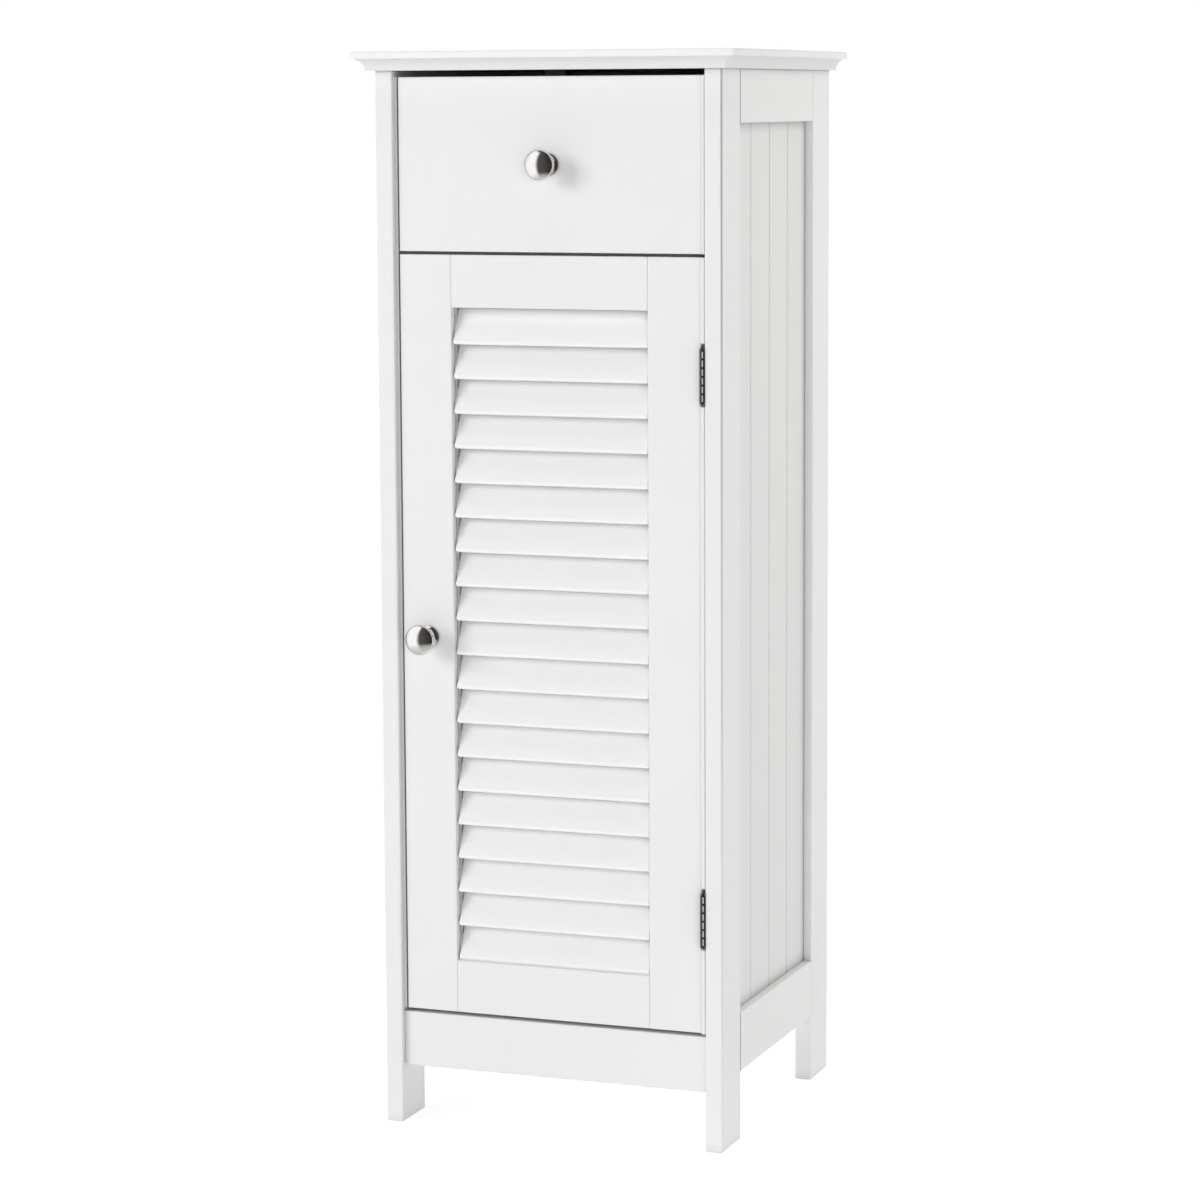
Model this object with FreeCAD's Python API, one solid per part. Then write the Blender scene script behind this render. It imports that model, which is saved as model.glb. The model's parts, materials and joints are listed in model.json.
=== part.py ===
import FreeCAD, Part

import math
import os
from collections import namedtuple

# Louvred door cabinet: one drawer over one louvred door, between two framed sides.
# Millimetres. +X right seen from the front, +Y back, +Z up. The front faces -Y.
# Origin: on the floor, in the middle of the whole object's box, knobs included.

V = FreeCAD.Vector
X = V(1, 0, 0)
Y = V(0, 1, 0)
Z = V(0, 0, 1)

os.makedirs("parts", exist_ok=True)

# ---------------------------------------------------------------- driving dimensions

# Top board
cabinet_height = 870.0
top_width = 320.0
top_depth = 300.0
top_thickness = 15.0
top_edge_radius = 0.8
top_cove_radius = 9.5
top_side_overhang = 15.0
top_front_overhang = 17.0
top_back_overhang = 2.0

# Side frames: posts that run down as legs, rails between them, and a bead board panel
post_thickness = 14.0
post_width = 45.0
foot_chamfer = 1.2
upper_rail_height = 42.0
lower_rail_height = 48.0
lower_rail_lift = 56.0
frame_groove_depth = 7.0
panel_thickness = 5.0
panel_recess = 7.0
bead_boards = 4
bead_groove_width = 2.4
bead_groove_depth = 1.2

# Boards inside
apron_height = 45.0
apron_lift = 47.5
apron_thickness = 15.0
apron_recess = 5.0
bottom_board_thickness = 15.0
divider_thickness = 15.0
back_panel_thickness = 3.0
back_panel_inset = 8.0
back_groove_depth = 6.0
shelf_thickness = 12.0
shelf_height = 404.0
shelf_front_setback = 6.0
shelf_row_pitch = 64.0
shelf_rows = 3

# Gaps round the drawer front and the door
front_recess = 4.5
drawer_side_gap = 3.5
drawer_top_gap = 5.0
fronts_gap = 2.5
door_bottom_gap = 3.0
door_latch_gap = 3.5
door_hinge_gap = 4.5

# Drawer
drawer_front_height = 137.5
drawer_front_thickness = 15.0
drawer_side_thickness = 12.0
drawer_side_height = 122.0
drawer_side_lift = 9.5
drawer_side_play = 8.0
drawer_back_thickness = 12.0
drawer_rear_gap = 24.0
drawer_bottom_thickness = 3.0
drawer_bottom_lift = 8.0
drawer_bottom_groove_depth = 5.0
runner_height = 10.0
runner_groove_depth = 4.5
runner_lift = 56.0
runner_rear_margin = 12.0
stop_width = 18.0
stop_depth = 12.0
stop_drop = 14.0
stop_setback = 2.0

# Door
door_thickness = 18.0
door_stile_width = 44.0
door_top_rail_height = 42.0
door_bottom_rail_height = 43.0
door_groove_width = 5.0
door_groove_depth = 8.0
slat_count = 19
slat_thickness = 5.0
slat_width = 31.5
slat_tilt_deg = 26.0
slat_setback = 1.0

# Hinges
hinge_inset = 92.0
hinge_knuckles = 6
knuckle_length = 6.6
knuckle_gap = 0.2
barrel_diameter = 4.2
hinge_pin_diameter = 2.0
hinge_leaf_thickness = 1.2
hinge_leaf_depth = 20.0
hinge_web_overlap = 1.0
hinge_screw_spacing = 26.0
pin_collar_diameter = 4.4
pin_collar_height = 1.1
pin_tip_height = 4.3
pin_foot_height = 2.7
pin_foot_diameter = 2.4

# Catch
catch_length = 45.0
catch_depth = 15.0
catch_height = 13.0
catch_inset = 65.5
catch_screw_spacing = 34.0
catch_screw_setback = 11.0
catch_screw_grip = 8.0
catch_magnet_length = 22.0
catch_magnet_height = 6.0
catch_magnet_depth = 10.0
strike_plate_length = 36.0
strike_plate_height = 11.0
strike_plate_thickness = 1.2
catch_gap = 0.3

# Knobs
knob_projection = 26.0
knob_head_diameter = 24.0
knob_rim_height = 19.0
knob_rim_rounding = 1.5
knob_base_diameter = 18.5
knob_base_thickness = 1.6
knob_base_rounding = 1.2
knob_neck_diameter = 10.0
knob_neck_start = 8.5
knob_neck_end = 12.0
knob_bore_depth = 12.0

# Fasteners
fastener_line_inset = 6.0
wood_screw_diameter = 3.0
wood_screw_head_diameter = 5.4
wood_screw_tip_length = 3.0
wood_screw_length = 12.0
runner_screw_length = 22.0
back_screw_length = 30.0
stop_screw_grip = 8.0
knob_screw_diameter = 4.0
knob_screw_head_diameter = 8.0
knob_screw_head_height = 2.4
knob_screw_head_rounding = 0.9
knob_screw_grip = 8.0
dowel_diameter = 6.0
dowel_length = 24.0
dowel_blind_depth = 8.0
cam_diameter = 12.0
cam_depth = 10.5
drawer_cam_depth = 9.0
cam_setback = 24.0
rail_cam_inset = 30.0
apron_cam_drop = 14.0
apron_dowel_drop = 12.0
cam_bolt_diameter = 5.0
cam_bolt_grip = 8.0
shelf_pin_diameter = 5.0
shelf_pin_hole_depth = 9.0
shelf_pin_ledge_length = 8.0
shelf_pin_ledge_width = 8.0
shelf_pin_ledge_height = 5.0

# Clearances and finish
edge_ease = 0.6
joint_clearance = 0.1
hole_clearance = 0.1
pin_clearance = 0.05
slide_clearance = 0.5
shelf_end_clearance = 1.5
divider_door_clearance = 1.5
slat_end_clearance = 0.5
groove_end_clearance = 0.5

# ---------------------------------------------------------------- derived places

# The knobs reach past the top's front edge, and the origin is under the middle of that whole depth.
front_reach = max(0.0, knob_projection - front_recess - top_front_overhang)
top_front = -(top_depth - front_reach) / 2
top_back = top_front + top_depth
top_side = top_width / 2
carcass_top = cabinet_height - top_thickness

frame_side = top_side - top_side_overhang
inner_side = frame_side - post_thickness
post_front = top_front + top_front_overhang
post_back = top_back - top_back_overhang
rail_front = post_front + post_width
rail_back = post_back - post_width
front_line = rail_front - frame_groove_depth - fastener_line_inset
rear_line = rail_back + frame_groove_depth + fastener_line_inset
upper_rail_bottom = carcass_top - upper_rail_height
lower_rail_top = lower_rail_lift + lower_rail_height
panel_outside = frame_side - panel_recess
panel_middle = panel_outside - panel_thickness / 2

front_face = post_front + front_recess
apron_front = post_front + apron_recess
apron_back = apron_front + apron_thickness
apron_top = apron_lift + apron_height
bottom_board_under = apron_top - bottom_board_thickness
back_panel_back = post_back - back_panel_inset
back_panel_front = back_panel_back - back_panel_thickness

drawer_top = carcass_top - drawer_top_gap
drawer_bottom_edge = drawer_top - drawer_front_height
door_top = drawer_bottom_edge - fronts_gap
door_bottom = apron_top + door_bottom_gap
door_back = front_face + door_thickness
door_left = -inner_side + door_latch_gap
door_right = inner_side - door_hinge_gap
opening_left = door_left + door_stile_width
opening_right = door_right - door_stile_width
opening_top = door_top - door_top_rail_height
opening_bottom = door_bottom + door_bottom_rail_height
door_groove_front = front_face + (door_thickness - door_groove_width) / 2
door_groove_back = door_groove_front + door_groove_width

divider_top = drawer_bottom_edge
divider_under = divider_top - divider_thickness
divider_front = door_back + divider_door_clearance

drawer_face_back = front_face + drawer_front_thickness
stop_front = drawer_face_back + stop_setback
stop_back = stop_front + stop_depth
stop_under = carcass_top - stop_drop
drawer_back_back = back_panel_front - drawer_rear_gap
drawer_back_front = drawer_back_back - drawer_back_thickness
drawer_side_outside = inner_side - drawer_side_play
drawer_side_inside = drawer_side_outside - drawer_side_thickness
drawer_side_under = drawer_bottom_edge + drawer_side_lift
drawer_side_top = drawer_side_under + drawer_side_height
drawer_bottom_under = drawer_side_under + drawer_bottom_lift
runner_under = drawer_side_under + runner_lift
runner_top = runner_under + runner_height
runner_inside = drawer_side_outside - runner_groove_depth + slide_clearance
runner_front = drawer_face_back + slide_clearance
runner_back = rear_line + runner_rear_margin
drawer_low_line = (drawer_bottom_under + drawer_bottom_thickness + runner_under) / 2
drawer_high_line = (runner_top + drawer_side_top) / 2

shelf_under = shelf_height - shelf_thickness
catch_front = door_back + strike_plate_thickness + catch_gap

hinge_x = inner_side - door_hinge_gap / 2
hinge_y = post_front
barrel_length = hinge_knuckles * knuckle_length + (hinge_knuckles - 1) * knuckle_gap
hinge_heights = {"upper": door_top - hinge_inset, "lower": door_bottom + hinge_inset}

drawer_knob_height = drawer_bottom_edge + drawer_front_height / 2
door_knob_x = door_left + door_stile_width / 2
door_knob_height = (door_top + door_bottom) / 2

# ---------------------------------------------------------------- small helpers


def block(x0, x1, y0, y1, z0, z1):
    """A square-edged board between two corners."""
    return Part.makeBox(abs(x1 - x0), y1 - y0, z1 - z0, V(min(x0, x1), y0, z0))


def board(x0, x1, y0, y1, z0, z1):
    """A painted board: the same, with all its edges eased."""
    shape = block(x0, x1, y0, y1, z0, z1)
    return shape.makeFillet(edge_ease, shape.Edges)


def rod(start, direction, length, radius):
    """A round bar from a point along a direction."""
    return Part.makeCylinder(radius, length, start, direction)


def fused(shapes):
    """One solid from pieces that overlap or share faces."""
    shape = shapes[0]
    for other in shapes[1:]:
        shape = shape.fuse(other)
    return shape.removeSplitter()


def cut_by(shape, cutters):
    """Cut away every cutter that reaches the shape."""
    for cutter in cutters:
        if shape.BoundBox.intersect(cutter.BoundBox):
            shape = shape.cut(cutter)
    return shape


def revolved(outline, base, direction):
    """Turn a closed outline, drawn with radius on X and height on Z, and stand it at a point."""
    shape = Part.Face(outline).revolve(V(0, 0, 0), Z, 360)
    shape.Placement = FreeCAD.Placement(base, FreeCAD.Rotation(Z, direction))
    return shape


def polygon(points):
    """A closed wire through (radius, height) points."""
    corners = [V(r, 0, h) for r, h in points]
    return Part.makePolygon(corners + corners[:1])


def save(node, shape):
    """Write one node as its own file."""
    shape.exportStep(f"parts/{node}.step")


def save_group(node, shapes):
    """Write identical pieces as one node of separate solids."""
    save(node, Part.makeCompound(shapes))


# ---------------------------------------------------------------- fasteners


def wood_screw(head, direction, length, margin=0.0):
    """Screw with a 45-degree countersunk head, flush at a point. A margin makes it the hole."""
    head_radius = wood_screw_head_diameter / 2 + margin
    shank_radius = wood_screw_diameter / 2 + margin
    tip = length + margin
    outline = polygon([(0, 0), (head_radius, 0), (shank_radius, head_radius - shank_radius),
                       (shank_radius, tip - wood_screw_tip_length), (0, tip)])
    return revolved(outline, head, direction)


def wood_screw_hole(head, direction, length):
    """Pilot hole and countersink of the screw above."""
    return wood_screw(head, direction, length, hole_clearance)


def knob_screw(face_point, direction, panel):
    """Pan-head screw from the inside face of a panel, through it and into the knob."""
    head = knob_screw_head_diameter / 2
    shank = knob_screw_diameter / 2
    top = -knob_screw_head_height
    end = panel + knob_screw_grip
    outline = polygon([(0, top), (head - knob_screw_head_rounding, top),
                       (head, top + knob_screw_head_rounding), (head, 0), (shank, 0),
                       (shank, end), (0, end)])
    return revolved(outline, face_point, direction)


def knob_screw_hole(face_point, direction, panel):
    """Clearance hole through the panel."""
    return rod(face_point, direction, panel, knob_screw_diameter / 2 + hole_clearance)


def dowel(start, direction):
    """Wooden dowel."""
    return rod(start, direction, dowel_length, dowel_diameter / 2)


def dowel_hole(start, direction):
    """Hole for the dowel, a little longer at both ends."""
    length = dowel_length + 2 * groove_end_clearance
    return rod(start - direction * groove_end_clearance, direction, length,
               dowel_diameter / 2 + hole_clearance)


# A cam joint: the cam sits in a pocket in a board's face, and the bolt runs from its middle, in the
# middle of the board's thickness, into the board that is pulled tight.
CamJoint = namedtuple("CamJoint", "face_point inwards bolt_direction bolt_depth cam_depth")


def cam_lock(joint):
    """The cam: a disc with a slot on one side for the bolt's head."""
    disc = rod(joint.face_point, joint.inwards, joint.cam_depth, cam_diameter / 2)
    centre = joint.face_point + joint.inwards * joint.bolt_depth
    slot = rod(centre, joint.bolt_direction, cam_diameter, cam_bolt_diameter / 2 + hole_clearance)
    return disc.cut(slot)


def cam_bolt(joint):
    """The bolt that the cam pulls on."""
    centre = joint.face_point + joint.inwards * joint.bolt_depth
    return rod(centre + joint.bolt_direction * joint_clearance, joint.bolt_direction,
               cam_setback + cam_bolt_grip - joint_clearance, cam_bolt_diameter / 2)


def cam_cutters(joint):
    """Pocket for the cam and bore for the bolt."""
    centre = joint.face_point + joint.inwards * joint.bolt_depth
    pocket = rod(joint.face_point, joint.inwards, joint.cam_depth + hole_clearance,
                 cam_diameter / 2 + hole_clearance)
    bore = rod(centre, joint.bolt_direction, cam_setback + cam_bolt_grip + hole_clearance,
               cam_bolt_diameter / 2 + hole_clearance)
    return [pocket, bore]


# ---------------------------------------------------------------- where the carcass fasteners go

sides = {"left": -1, "right": 1}
post_middle = frame_side - post_thickness / 2
rail_line_front = rail_front + rail_cam_inset
rail_line_back = rail_back - rail_cam_inset


def carcass_dowel_places():
    """Start point and direction of each dowel of the carcass."""
    places = []
    for side in sides.values():
        for y in ((post_front + rail_front) / 2, (rail_back + post_back) / 2):
            start = carcass_top - dowel_length + dowel_blind_depth
            places.append((V(side * post_middle, y, start), Z))
        outwards = X * side
        inner_end = side * (inner_side + dowel_blind_depth - dowel_length)
        rail_centre = (rail_front + rail_back) / 2
        board_middle = bottom_board_under + bottom_board_thickness / 2
        places.append((V(inner_end, rail_centre, board_middle), outwards))
        apron_middle = (apron_front + apron_back) / 2
        places.append((V(inner_end, apron_middle, apron_top - apron_dowel_drop), outwards))
    return places


def carcass_cam_joints():
    """Every cam joint of the carcass."""
    joints = []
    for side in sides.values():
        outwards = X * side
        cam_x = side * (inner_side - cam_setback)
        for y in (rail_line_front, rail_line_back):
            # top board onto the upper side rails
            face_point = V(side * inner_side, y, carcass_top - cam_setback)
            joints.append(CamJoint(face_point, outwards, Z, post_thickness / 2, cam_depth))
            # bottom board between the lower side rails
            face_point = V(cam_x, y, bottom_board_under)
            joints.append(CamJoint(face_point, Z, outwards, bottom_board_thickness / 2, cam_depth))
        for y in (front_line, rear_line):
            # divider between the posts
            face_point = V(cam_x, y, divider_under)
            joints.append(CamJoint(face_point, Z, outwards, divider_thickness / 2, cam_depth))
        # apron between the front posts
        face_point = V(cam_x, apron_back, bottom_board_under - apron_cam_drop)
        joints.append(CamJoint(face_point, Y * -1, outwards, apron_thickness / 2, cam_depth))
    return joints


def runner_screw_places():
    """Head point and direction of the two screws of each runner."""
    height = (runner_under + runner_top) / 2
    return [(V(side * runner_inside, y, height), X * side)
            for side in sides.values() for y in (front_line, rear_line)]


def shelf_pin_points(height):
    """The four pin places of one row, as points on the posts' inner faces with outward directions."""
    return [(V(side * inner_side, y, height), X * side)
            for side in sides.values() for y in (front_line, rear_line)]


def shelf_pin_height(row):
    """Height of a row's hole centres; the middle row carries the shelf."""
    pin_centre = shelf_under - shelf_pin_ledge_height + shelf_pin_diameter / 2
    return pin_centre + (row - (shelf_rows - 1) / 2) * shelf_row_pitch


def shelf_pin_holes():
    """All holes of all rows."""
    holes = []
    for row in range(shelf_rows):
        for point, direction in shelf_pin_points(shelf_pin_height(row)):
            holes.append(rod(point, direction, shelf_pin_hole_depth, shelf_pin_diameter / 2))
    return holes


def hinge_screw_heights():
    """Heights of the screws of both hinges."""
    return [height + offset for height in hinge_heights.values()
            for offset in (-hinge_screw_spacing / 2, hinge_screw_spacing / 2)]


hinge_leaf_back = hinge_y + hinge_leaf_depth
hinge_screw_y = (front_face + hinge_leaf_back) / 2


def hinge_post_screw_places():
    """Head points of the screws in the post leaves."""
    head_x = inner_side - hinge_leaf_thickness
    return [(V(head_x, hinge_screw_y, z), X) for z in hinge_screw_heights()]


def hinge_door_screw_places():
    """Head points of the screws in the door leaves."""
    head_x = door_right + hinge_leaf_thickness
    return [(V(head_x, hinge_screw_y, z), X * -1) for z in hinge_screw_heights()]


catch_x = door_left + catch_inset
catch_screw_y = catch_front + catch_screw_setback
catch_screw_heads = divider_under - catch_height


def catch_screw_places():
    """Head points of the screws that hold the catch under the divider."""
    offsets = (-catch_screw_spacing / 2, catch_screw_spacing / 2)
    return [(V(catch_x + offset, catch_screw_y, catch_screw_heads), Z) for offset in offsets]


stop_screw_place = (V(0, (stop_front + stop_back) / 2, stop_under), Z)
strike_plate_height_centre = divider_under - catch_height / 2
strike_screw_place = (V(catch_x, door_back + strike_plate_thickness, strike_plate_height_centre), Y * -1)
stop_screw_length = stop_drop + stop_screw_grip
catch_screw_length = catch_height + catch_screw_grip

carcass_cutters = [dowel_hole(*place) for place in carcass_dowel_places()]
for cam_joint in carcass_cam_joints():
    carcass_cutters += cam_cutters(cam_joint)
carcass_cutters += [wood_screw_hole(*place, runner_screw_length) for place in runner_screw_places()]
carcass_cutters += [wood_screw_hole(*place, wood_screw_length) for place in hinge_post_screw_places()]
carcass_cutters += [wood_screw_hole(*place, catch_screw_length) for place in catch_screw_places()]
carcass_cutters += [wood_screw_hole(*stop_screw_place, stop_screw_length)]
carcass_cutters += shelf_pin_holes()

# ---------------------------------------------------------------- top and side frames


def top_board():
    """Top with a cove under its lip on the front and both sides, and a plain back edge."""
    shape = block(-top_side, top_side, top_front, top_back, carcass_top, cabinet_height)
    upper_edges = [edge for edge in shape.Edges if edge.BoundBox.ZMax > carcass_top + top_edge_radius]
    shape = shape.makeFillet(top_edge_radius, upper_edges)
    coves = [rod(V(-top_side, top_front, carcass_top), X, top_width, top_cove_radius),
             rod(V(-top_side, top_front, carcass_top), Y, top_depth, top_cove_radius),
             rod(V(top_side, top_front, carcass_top), Y, top_depth, top_cove_radius)]
    return cut_by(shape, coves + carcass_cutters)


def panel_groove(y0, y1, z0, z1, side):
    """Slot in a side frame for the panel's edge and the rails' tenons."""
    half = panel_thickness / 2 + joint_clearance
    return block(side * (panel_middle - half), side * (panel_middle + half), y0, y1, z0, z1)


def post(side, y0, y1, groove_y0, groove_y1):
    """A post on edge, with chamfered foot and the frame groove in its inner edge."""
    shape = block(side * inner_side, side * frame_side, y0, y1, 0, carcass_top)
    foot_edges = [edge for edge in shape.Edges if edge.BoundBox.ZMax < foot_chamfer]
    shape = shape.makeChamfer(foot_chamfer, foot_edges)
    long_edges = [edge for edge in shape.Edges if edge.BoundBox.ZLength > cabinet_height / 2]
    shape = shape.makeFillet(edge_ease, long_edges)
    groove = panel_groove(groove_y0, groove_y1, lower_rail_lift, carcass_top, side)
    return cut_by(shape, [groove] + carcass_cutters)


def front_post(side):
    """Front post."""
    return post(side, post_front, rail_front, rail_front - frame_groove_depth, rail_front)


def rear_post(side):
    """Rear post, with a second groove in its inner face for the back panel."""
    shape = post(side, rail_back, post_back, rail_back, rail_back + frame_groove_depth)
    back_groove = block(side * inner_side, side * (inner_side + back_groove_depth),
                        back_panel_front - joint_clearance, back_panel_back + joint_clearance,
                        bottom_board_under, carcass_top)
    return shape.cut(back_groove)


def side_rail(side, z0, z1):
    """A rail with a stub tenon on each end that fills the posts' groove."""
    body = board(side * inner_side, side * frame_side, rail_front, rail_back, z0, z1)
    reach = frame_groove_depth - joint_clearance
    tenon = block(side * (panel_outside - panel_thickness), side * panel_outside,
                  rail_front - reach, rail_back + reach, z0, z1)
    return fused([body, tenon])


def upper_side_rail(side):
    """Upper rail, grooved underneath for the panel."""
    shape = side_rail(side, upper_rail_bottom, carcass_top)
    groove = panel_groove(rail_front - frame_groove_depth, rail_back + frame_groove_depth,
                          upper_rail_bottom, upper_rail_bottom + frame_groove_depth, side)
    return cut_by(shape, [groove] + carcass_cutters)


def lower_side_rail(side):
    """Lower rail, grooved on top for the panel."""
    shape = side_rail(side, lower_rail_lift, lower_rail_top)
    groove = panel_groove(rail_front - frame_groove_depth, rail_back + frame_groove_depth,
                          lower_rail_top - frame_groove_depth, lower_rail_top, side)
    return cut_by(shape, [groove] + carcass_cutters)


def side_panel(side):
    """Bead board panel: V grooves on the outside divide it into equal boards."""
    reach = frame_groove_depth - groove_end_clearance
    z0 = lower_rail_top - frame_groove_depth
    z1 = upper_rail_bottom + reach
    shape = block(side * (panel_outside - panel_thickness), side * panel_outside,
                  rail_front - reach, rail_back + reach, z0, z1)
    board_width = (rail_back - rail_front) / bead_boards
    for index in range(1, bead_boards):
        y = rail_front + index * board_width
        corners = [V(side * panel_outside, y - bead_groove_width / 2, z0),
                   V(side * (panel_outside - bead_groove_depth), y, z0),
                   V(side * panel_outside, y + bead_groove_width / 2, z0),
                   V(side * (panel_outside + bead_groove_depth), y, z0)]
        wire = Part.makePolygon(corners + corners[:1])
        shape = shape.cut(Part.Face(wire).extrude(Z * (z1 - z0)))
    return shape


# ---------------------------------------------------------------- boards between the side frames


def front_apron():
    """Board under the door, between the front posts."""
    shape = board(-inner_side, inner_side, apron_front, apron_back, apron_lift, apron_top)
    return cut_by(shape, carcass_cutters)


def bottom_board():
    """Floor of the door compartment."""
    shape = block(-inner_side, inner_side, apron_back, back_panel_front, bottom_board_under, apron_top)
    return cut_by(shape, carcass_cutters)


def divider_board():
    """Board between the drawer and the door compartment."""
    shape = block(-inner_side, inner_side, divider_front, back_panel_front, divider_under, divider_top)
    return cut_by(shape, carcass_cutters)


def back_panel():
    """Thin back, let into the rear posts and stood on the ends of their grooves."""
    reach = inner_side + back_groove_depth - groove_end_clearance
    return block(-reach, reach, back_panel_front, back_panel_back, bottom_board_under, carcass_top)


def shelf():
    """Adjustable shelf on four pins."""
    reach = inner_side - shelf_end_clearance
    return board(-reach, reach, divider_front + shelf_front_setback,
                 back_panel_front - shelf_end_clearance, shelf_under, shelf_height)


def shelf_pin(point, direction):
    """Pin with a round shank in the post and a flat ledge under the shelf."""
    radius = shelf_pin_diameter / 2 - pin_clearance
    inwards = direction * -1
    shank = rod(point + inwards, direction, shelf_pin_hole_depth, radius)
    ledge_end = point + inwards * shelf_pin_ledge_length
    ledge_top = point.z - shelf_pin_diameter / 2 + shelf_pin_ledge_height
    ledge = block(point.x, ledge_end.x, point.y - shelf_pin_ledge_width / 2,
                  point.y + shelf_pin_ledge_width / 2, ledge_top - shelf_pin_ledge_height, ledge_top)
    return fused([shank, ledge])


def drawer_runner(side):
    """Strip on the posts that the drawer's grooved side slides on."""
    shape = block(side * runner_inside, side * inner_side, runner_front, runner_back,
                  runner_under, runner_top)
    return cut_by(shape, carcass_cutters)


def drawer_stop():
    """Block under the top. The drawer's back meets it when the drawer has come out fully."""
    shape = board(-stop_width / 2, stop_width / 2, stop_front, stop_back, stop_under, carcass_top)
    return cut_by(shape, carcass_cutters)


def catch_bounds(length, height, depth, y0):
    """A block of the catch, centred on its length and height."""
    middle = strike_plate_height_centre
    return block(catch_x - length / 2, catch_x + length / 2, y0, y0 + depth,
                 middle - height / 2, middle + height / 2)


def magnetic_catch():
    """Plastic housing with a pocket for the magnet, open to the door."""
    shape = catch_bounds(catch_length, catch_height, catch_depth, catch_front)
    upright_edges = [edge for edge in shape.Edges if edge.BoundBox.ZLength > catch_height / 2]
    shape = shape.makeFillet(edge_ease, upright_edges)
    pocket = catch_bounds(catch_magnet_length + 2 * joint_clearance, catch_magnet_height
                          + 2 * joint_clearance, catch_magnet_depth + joint_clearance, catch_front)
    return cut_by(shape, [pocket] + carcass_cutters)


def catch_magnet():
    """Magnet with its poles flush with the housing's front."""
    return catch_bounds(catch_magnet_length, catch_magnet_height, catch_magnet_depth, catch_front)


# ---------------------------------------------------------------- drawer

drawer_cam_joints = []
for drawer_side_sign in sides.values():
    for cam_z in (drawer_low_line, drawer_high_line):
        cam_face = V(drawer_side_sign * drawer_side_inside, drawer_face_back + cam_setback, cam_z)
        drawer_cam_joints.append(CamJoint(cam_face, X * drawer_side_sign, Y * -1,
                                          drawer_side_thickness / 2, drawer_cam_depth))

drawer_knob_face = V(0, drawer_face_back, drawer_knob_height)


def back_screw_places():
    """Head points of the screws through the drawer sides into its back."""
    y = (drawer_back_front + drawer_back_back) / 2
    return [(V(side * drawer_side_outside, y, z), X * -side)
            for side in sides.values() for z in (drawer_low_line, drawer_high_line)]


drawer_cutters = [knob_screw_hole(drawer_knob_face, Y * -1, drawer_front_thickness)]
for cam_joint in drawer_cam_joints:
    drawer_cutters += cam_cutters(cam_joint)
drawer_cutters += [wood_screw_hole(*place, back_screw_length) for place in back_screw_places()]


def drawer_bottom_slot(margin):
    """The drawer bottom, or with a margin the groove for it in the boards round it."""
    reach = drawer_bottom_groove_depth - (0 if margin else groove_end_clearance)
    return block(-drawer_side_inside - reach, drawer_side_inside + reach,
                 drawer_face_back - reach, drawer_back_front + reach,
                 drawer_bottom_under - margin, drawer_bottom_under + drawer_bottom_thickness + margin)


def drawer_front():
    """Flat slab front."""
    reach = inner_side - drawer_side_gap
    shape = board(-reach, reach, front_face, drawer_face_back, drawer_bottom_edge, drawer_top)
    return cut_by(shape, [drawer_bottom_slot(joint_clearance)] + drawer_cutters)


def drawer_side(side):
    """Side with a groove outside for the runner and one inside for the bottom."""
    shape = block(side * drawer_side_inside, side * drawer_side_outside,
                  drawer_face_back, drawer_back_back, drawer_side_under, drawer_side_top)
    runner_groove = block(side * (drawer_side_outside - runner_groove_depth),
                          side * drawer_side_outside, drawer_face_back, drawer_back_back,
                          runner_under - slide_clearance, runner_top + slide_clearance)
    return cut_by(shape, [runner_groove, drawer_bottom_slot(joint_clearance)] + drawer_cutters)


def drawer_back():
    """Back board between the sides."""
    shape = block(-drawer_side_inside, drawer_side_inside, drawer_back_front, drawer_back_back,
                  drawer_side_under, drawer_side_top)
    return cut_by(shape, [drawer_bottom_slot(joint_clearance)] + drawer_cutters)


# ---------------------------------------------------------------- door

door_knob_face = V(door_knob_x, door_back, door_knob_height)
door_cutters = [knob_screw_hole(door_knob_face, Y * -1, door_thickness)]
door_cutters += [wood_screw_hole(*place, wood_screw_length) for place in hinge_door_screw_places()]
door_cutters += [wood_screw_hole(*strike_screw_place, wood_screw_length)]


def door_stile(x0, x1, inner_edge, into):
    """Stile with a groove all along its inner edge for the rails' tenons and the slats' tongues."""
    shape = board(x0, x1, front_face, door_back, door_bottom, door_top)
    groove = block(inner_edge, inner_edge + into * door_groove_depth,
                   door_groove_front, door_groove_back, door_bottom, door_top)
    return cut_by(shape, [groove] + door_cutters)


def door_rail(z0, z1):
    """Rail with a stub tenon on each end."""
    body = board(opening_left, opening_right, front_face, door_back, z0, z1)
    reach = door_groove_depth - groove_end_clearance
    tenon = block(opening_left - reach, opening_right + reach, door_groove_front + joint_clearance,
                  door_groove_back - joint_clearance, z0, z1)
    return cut_by(fused([body, tenon]), door_cutters)


# A slat's outline is a band with two round ends, tilted so that its lower edge is in front.
slat_tilt = math.radians(slat_tilt_deg)
slat_up = V(0, math.sin(slat_tilt), math.cos(slat_tilt))
slat_through = V(0, math.cos(slat_tilt), -math.sin(slat_tilt))
slat_radius = slat_thickness / 2
slat_run = slat_width - slat_thickness
slat_height = slat_run * slat_up.z + slat_thickness
slat_pitch = (opening_top - opening_bottom - slat_height - 2 * slat_end_clearance) / (slat_count - 1)


def slat_outline(x, lowest):
    """The outline at one X, with its lowest point at a height."""
    lower = V(x, front_face + slat_setback + slat_radius, lowest + slat_radius)
    upper = lower + slat_up * slat_run
    across = slat_through * slat_radius
    round_lower = Part.Arc(lower - across, lower - slat_up * slat_radius, lower + across)
    round_upper = Part.Arc(upper + across, upper + slat_up * slat_radius, upper - across)
    edges = [round_lower.toShape(), Part.makeLine(lower + across, upper + across),
             round_upper.toShape(), Part.makeLine(upper - across, lower - across)]
    return Part.Face(Part.Wire(edges))


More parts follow.
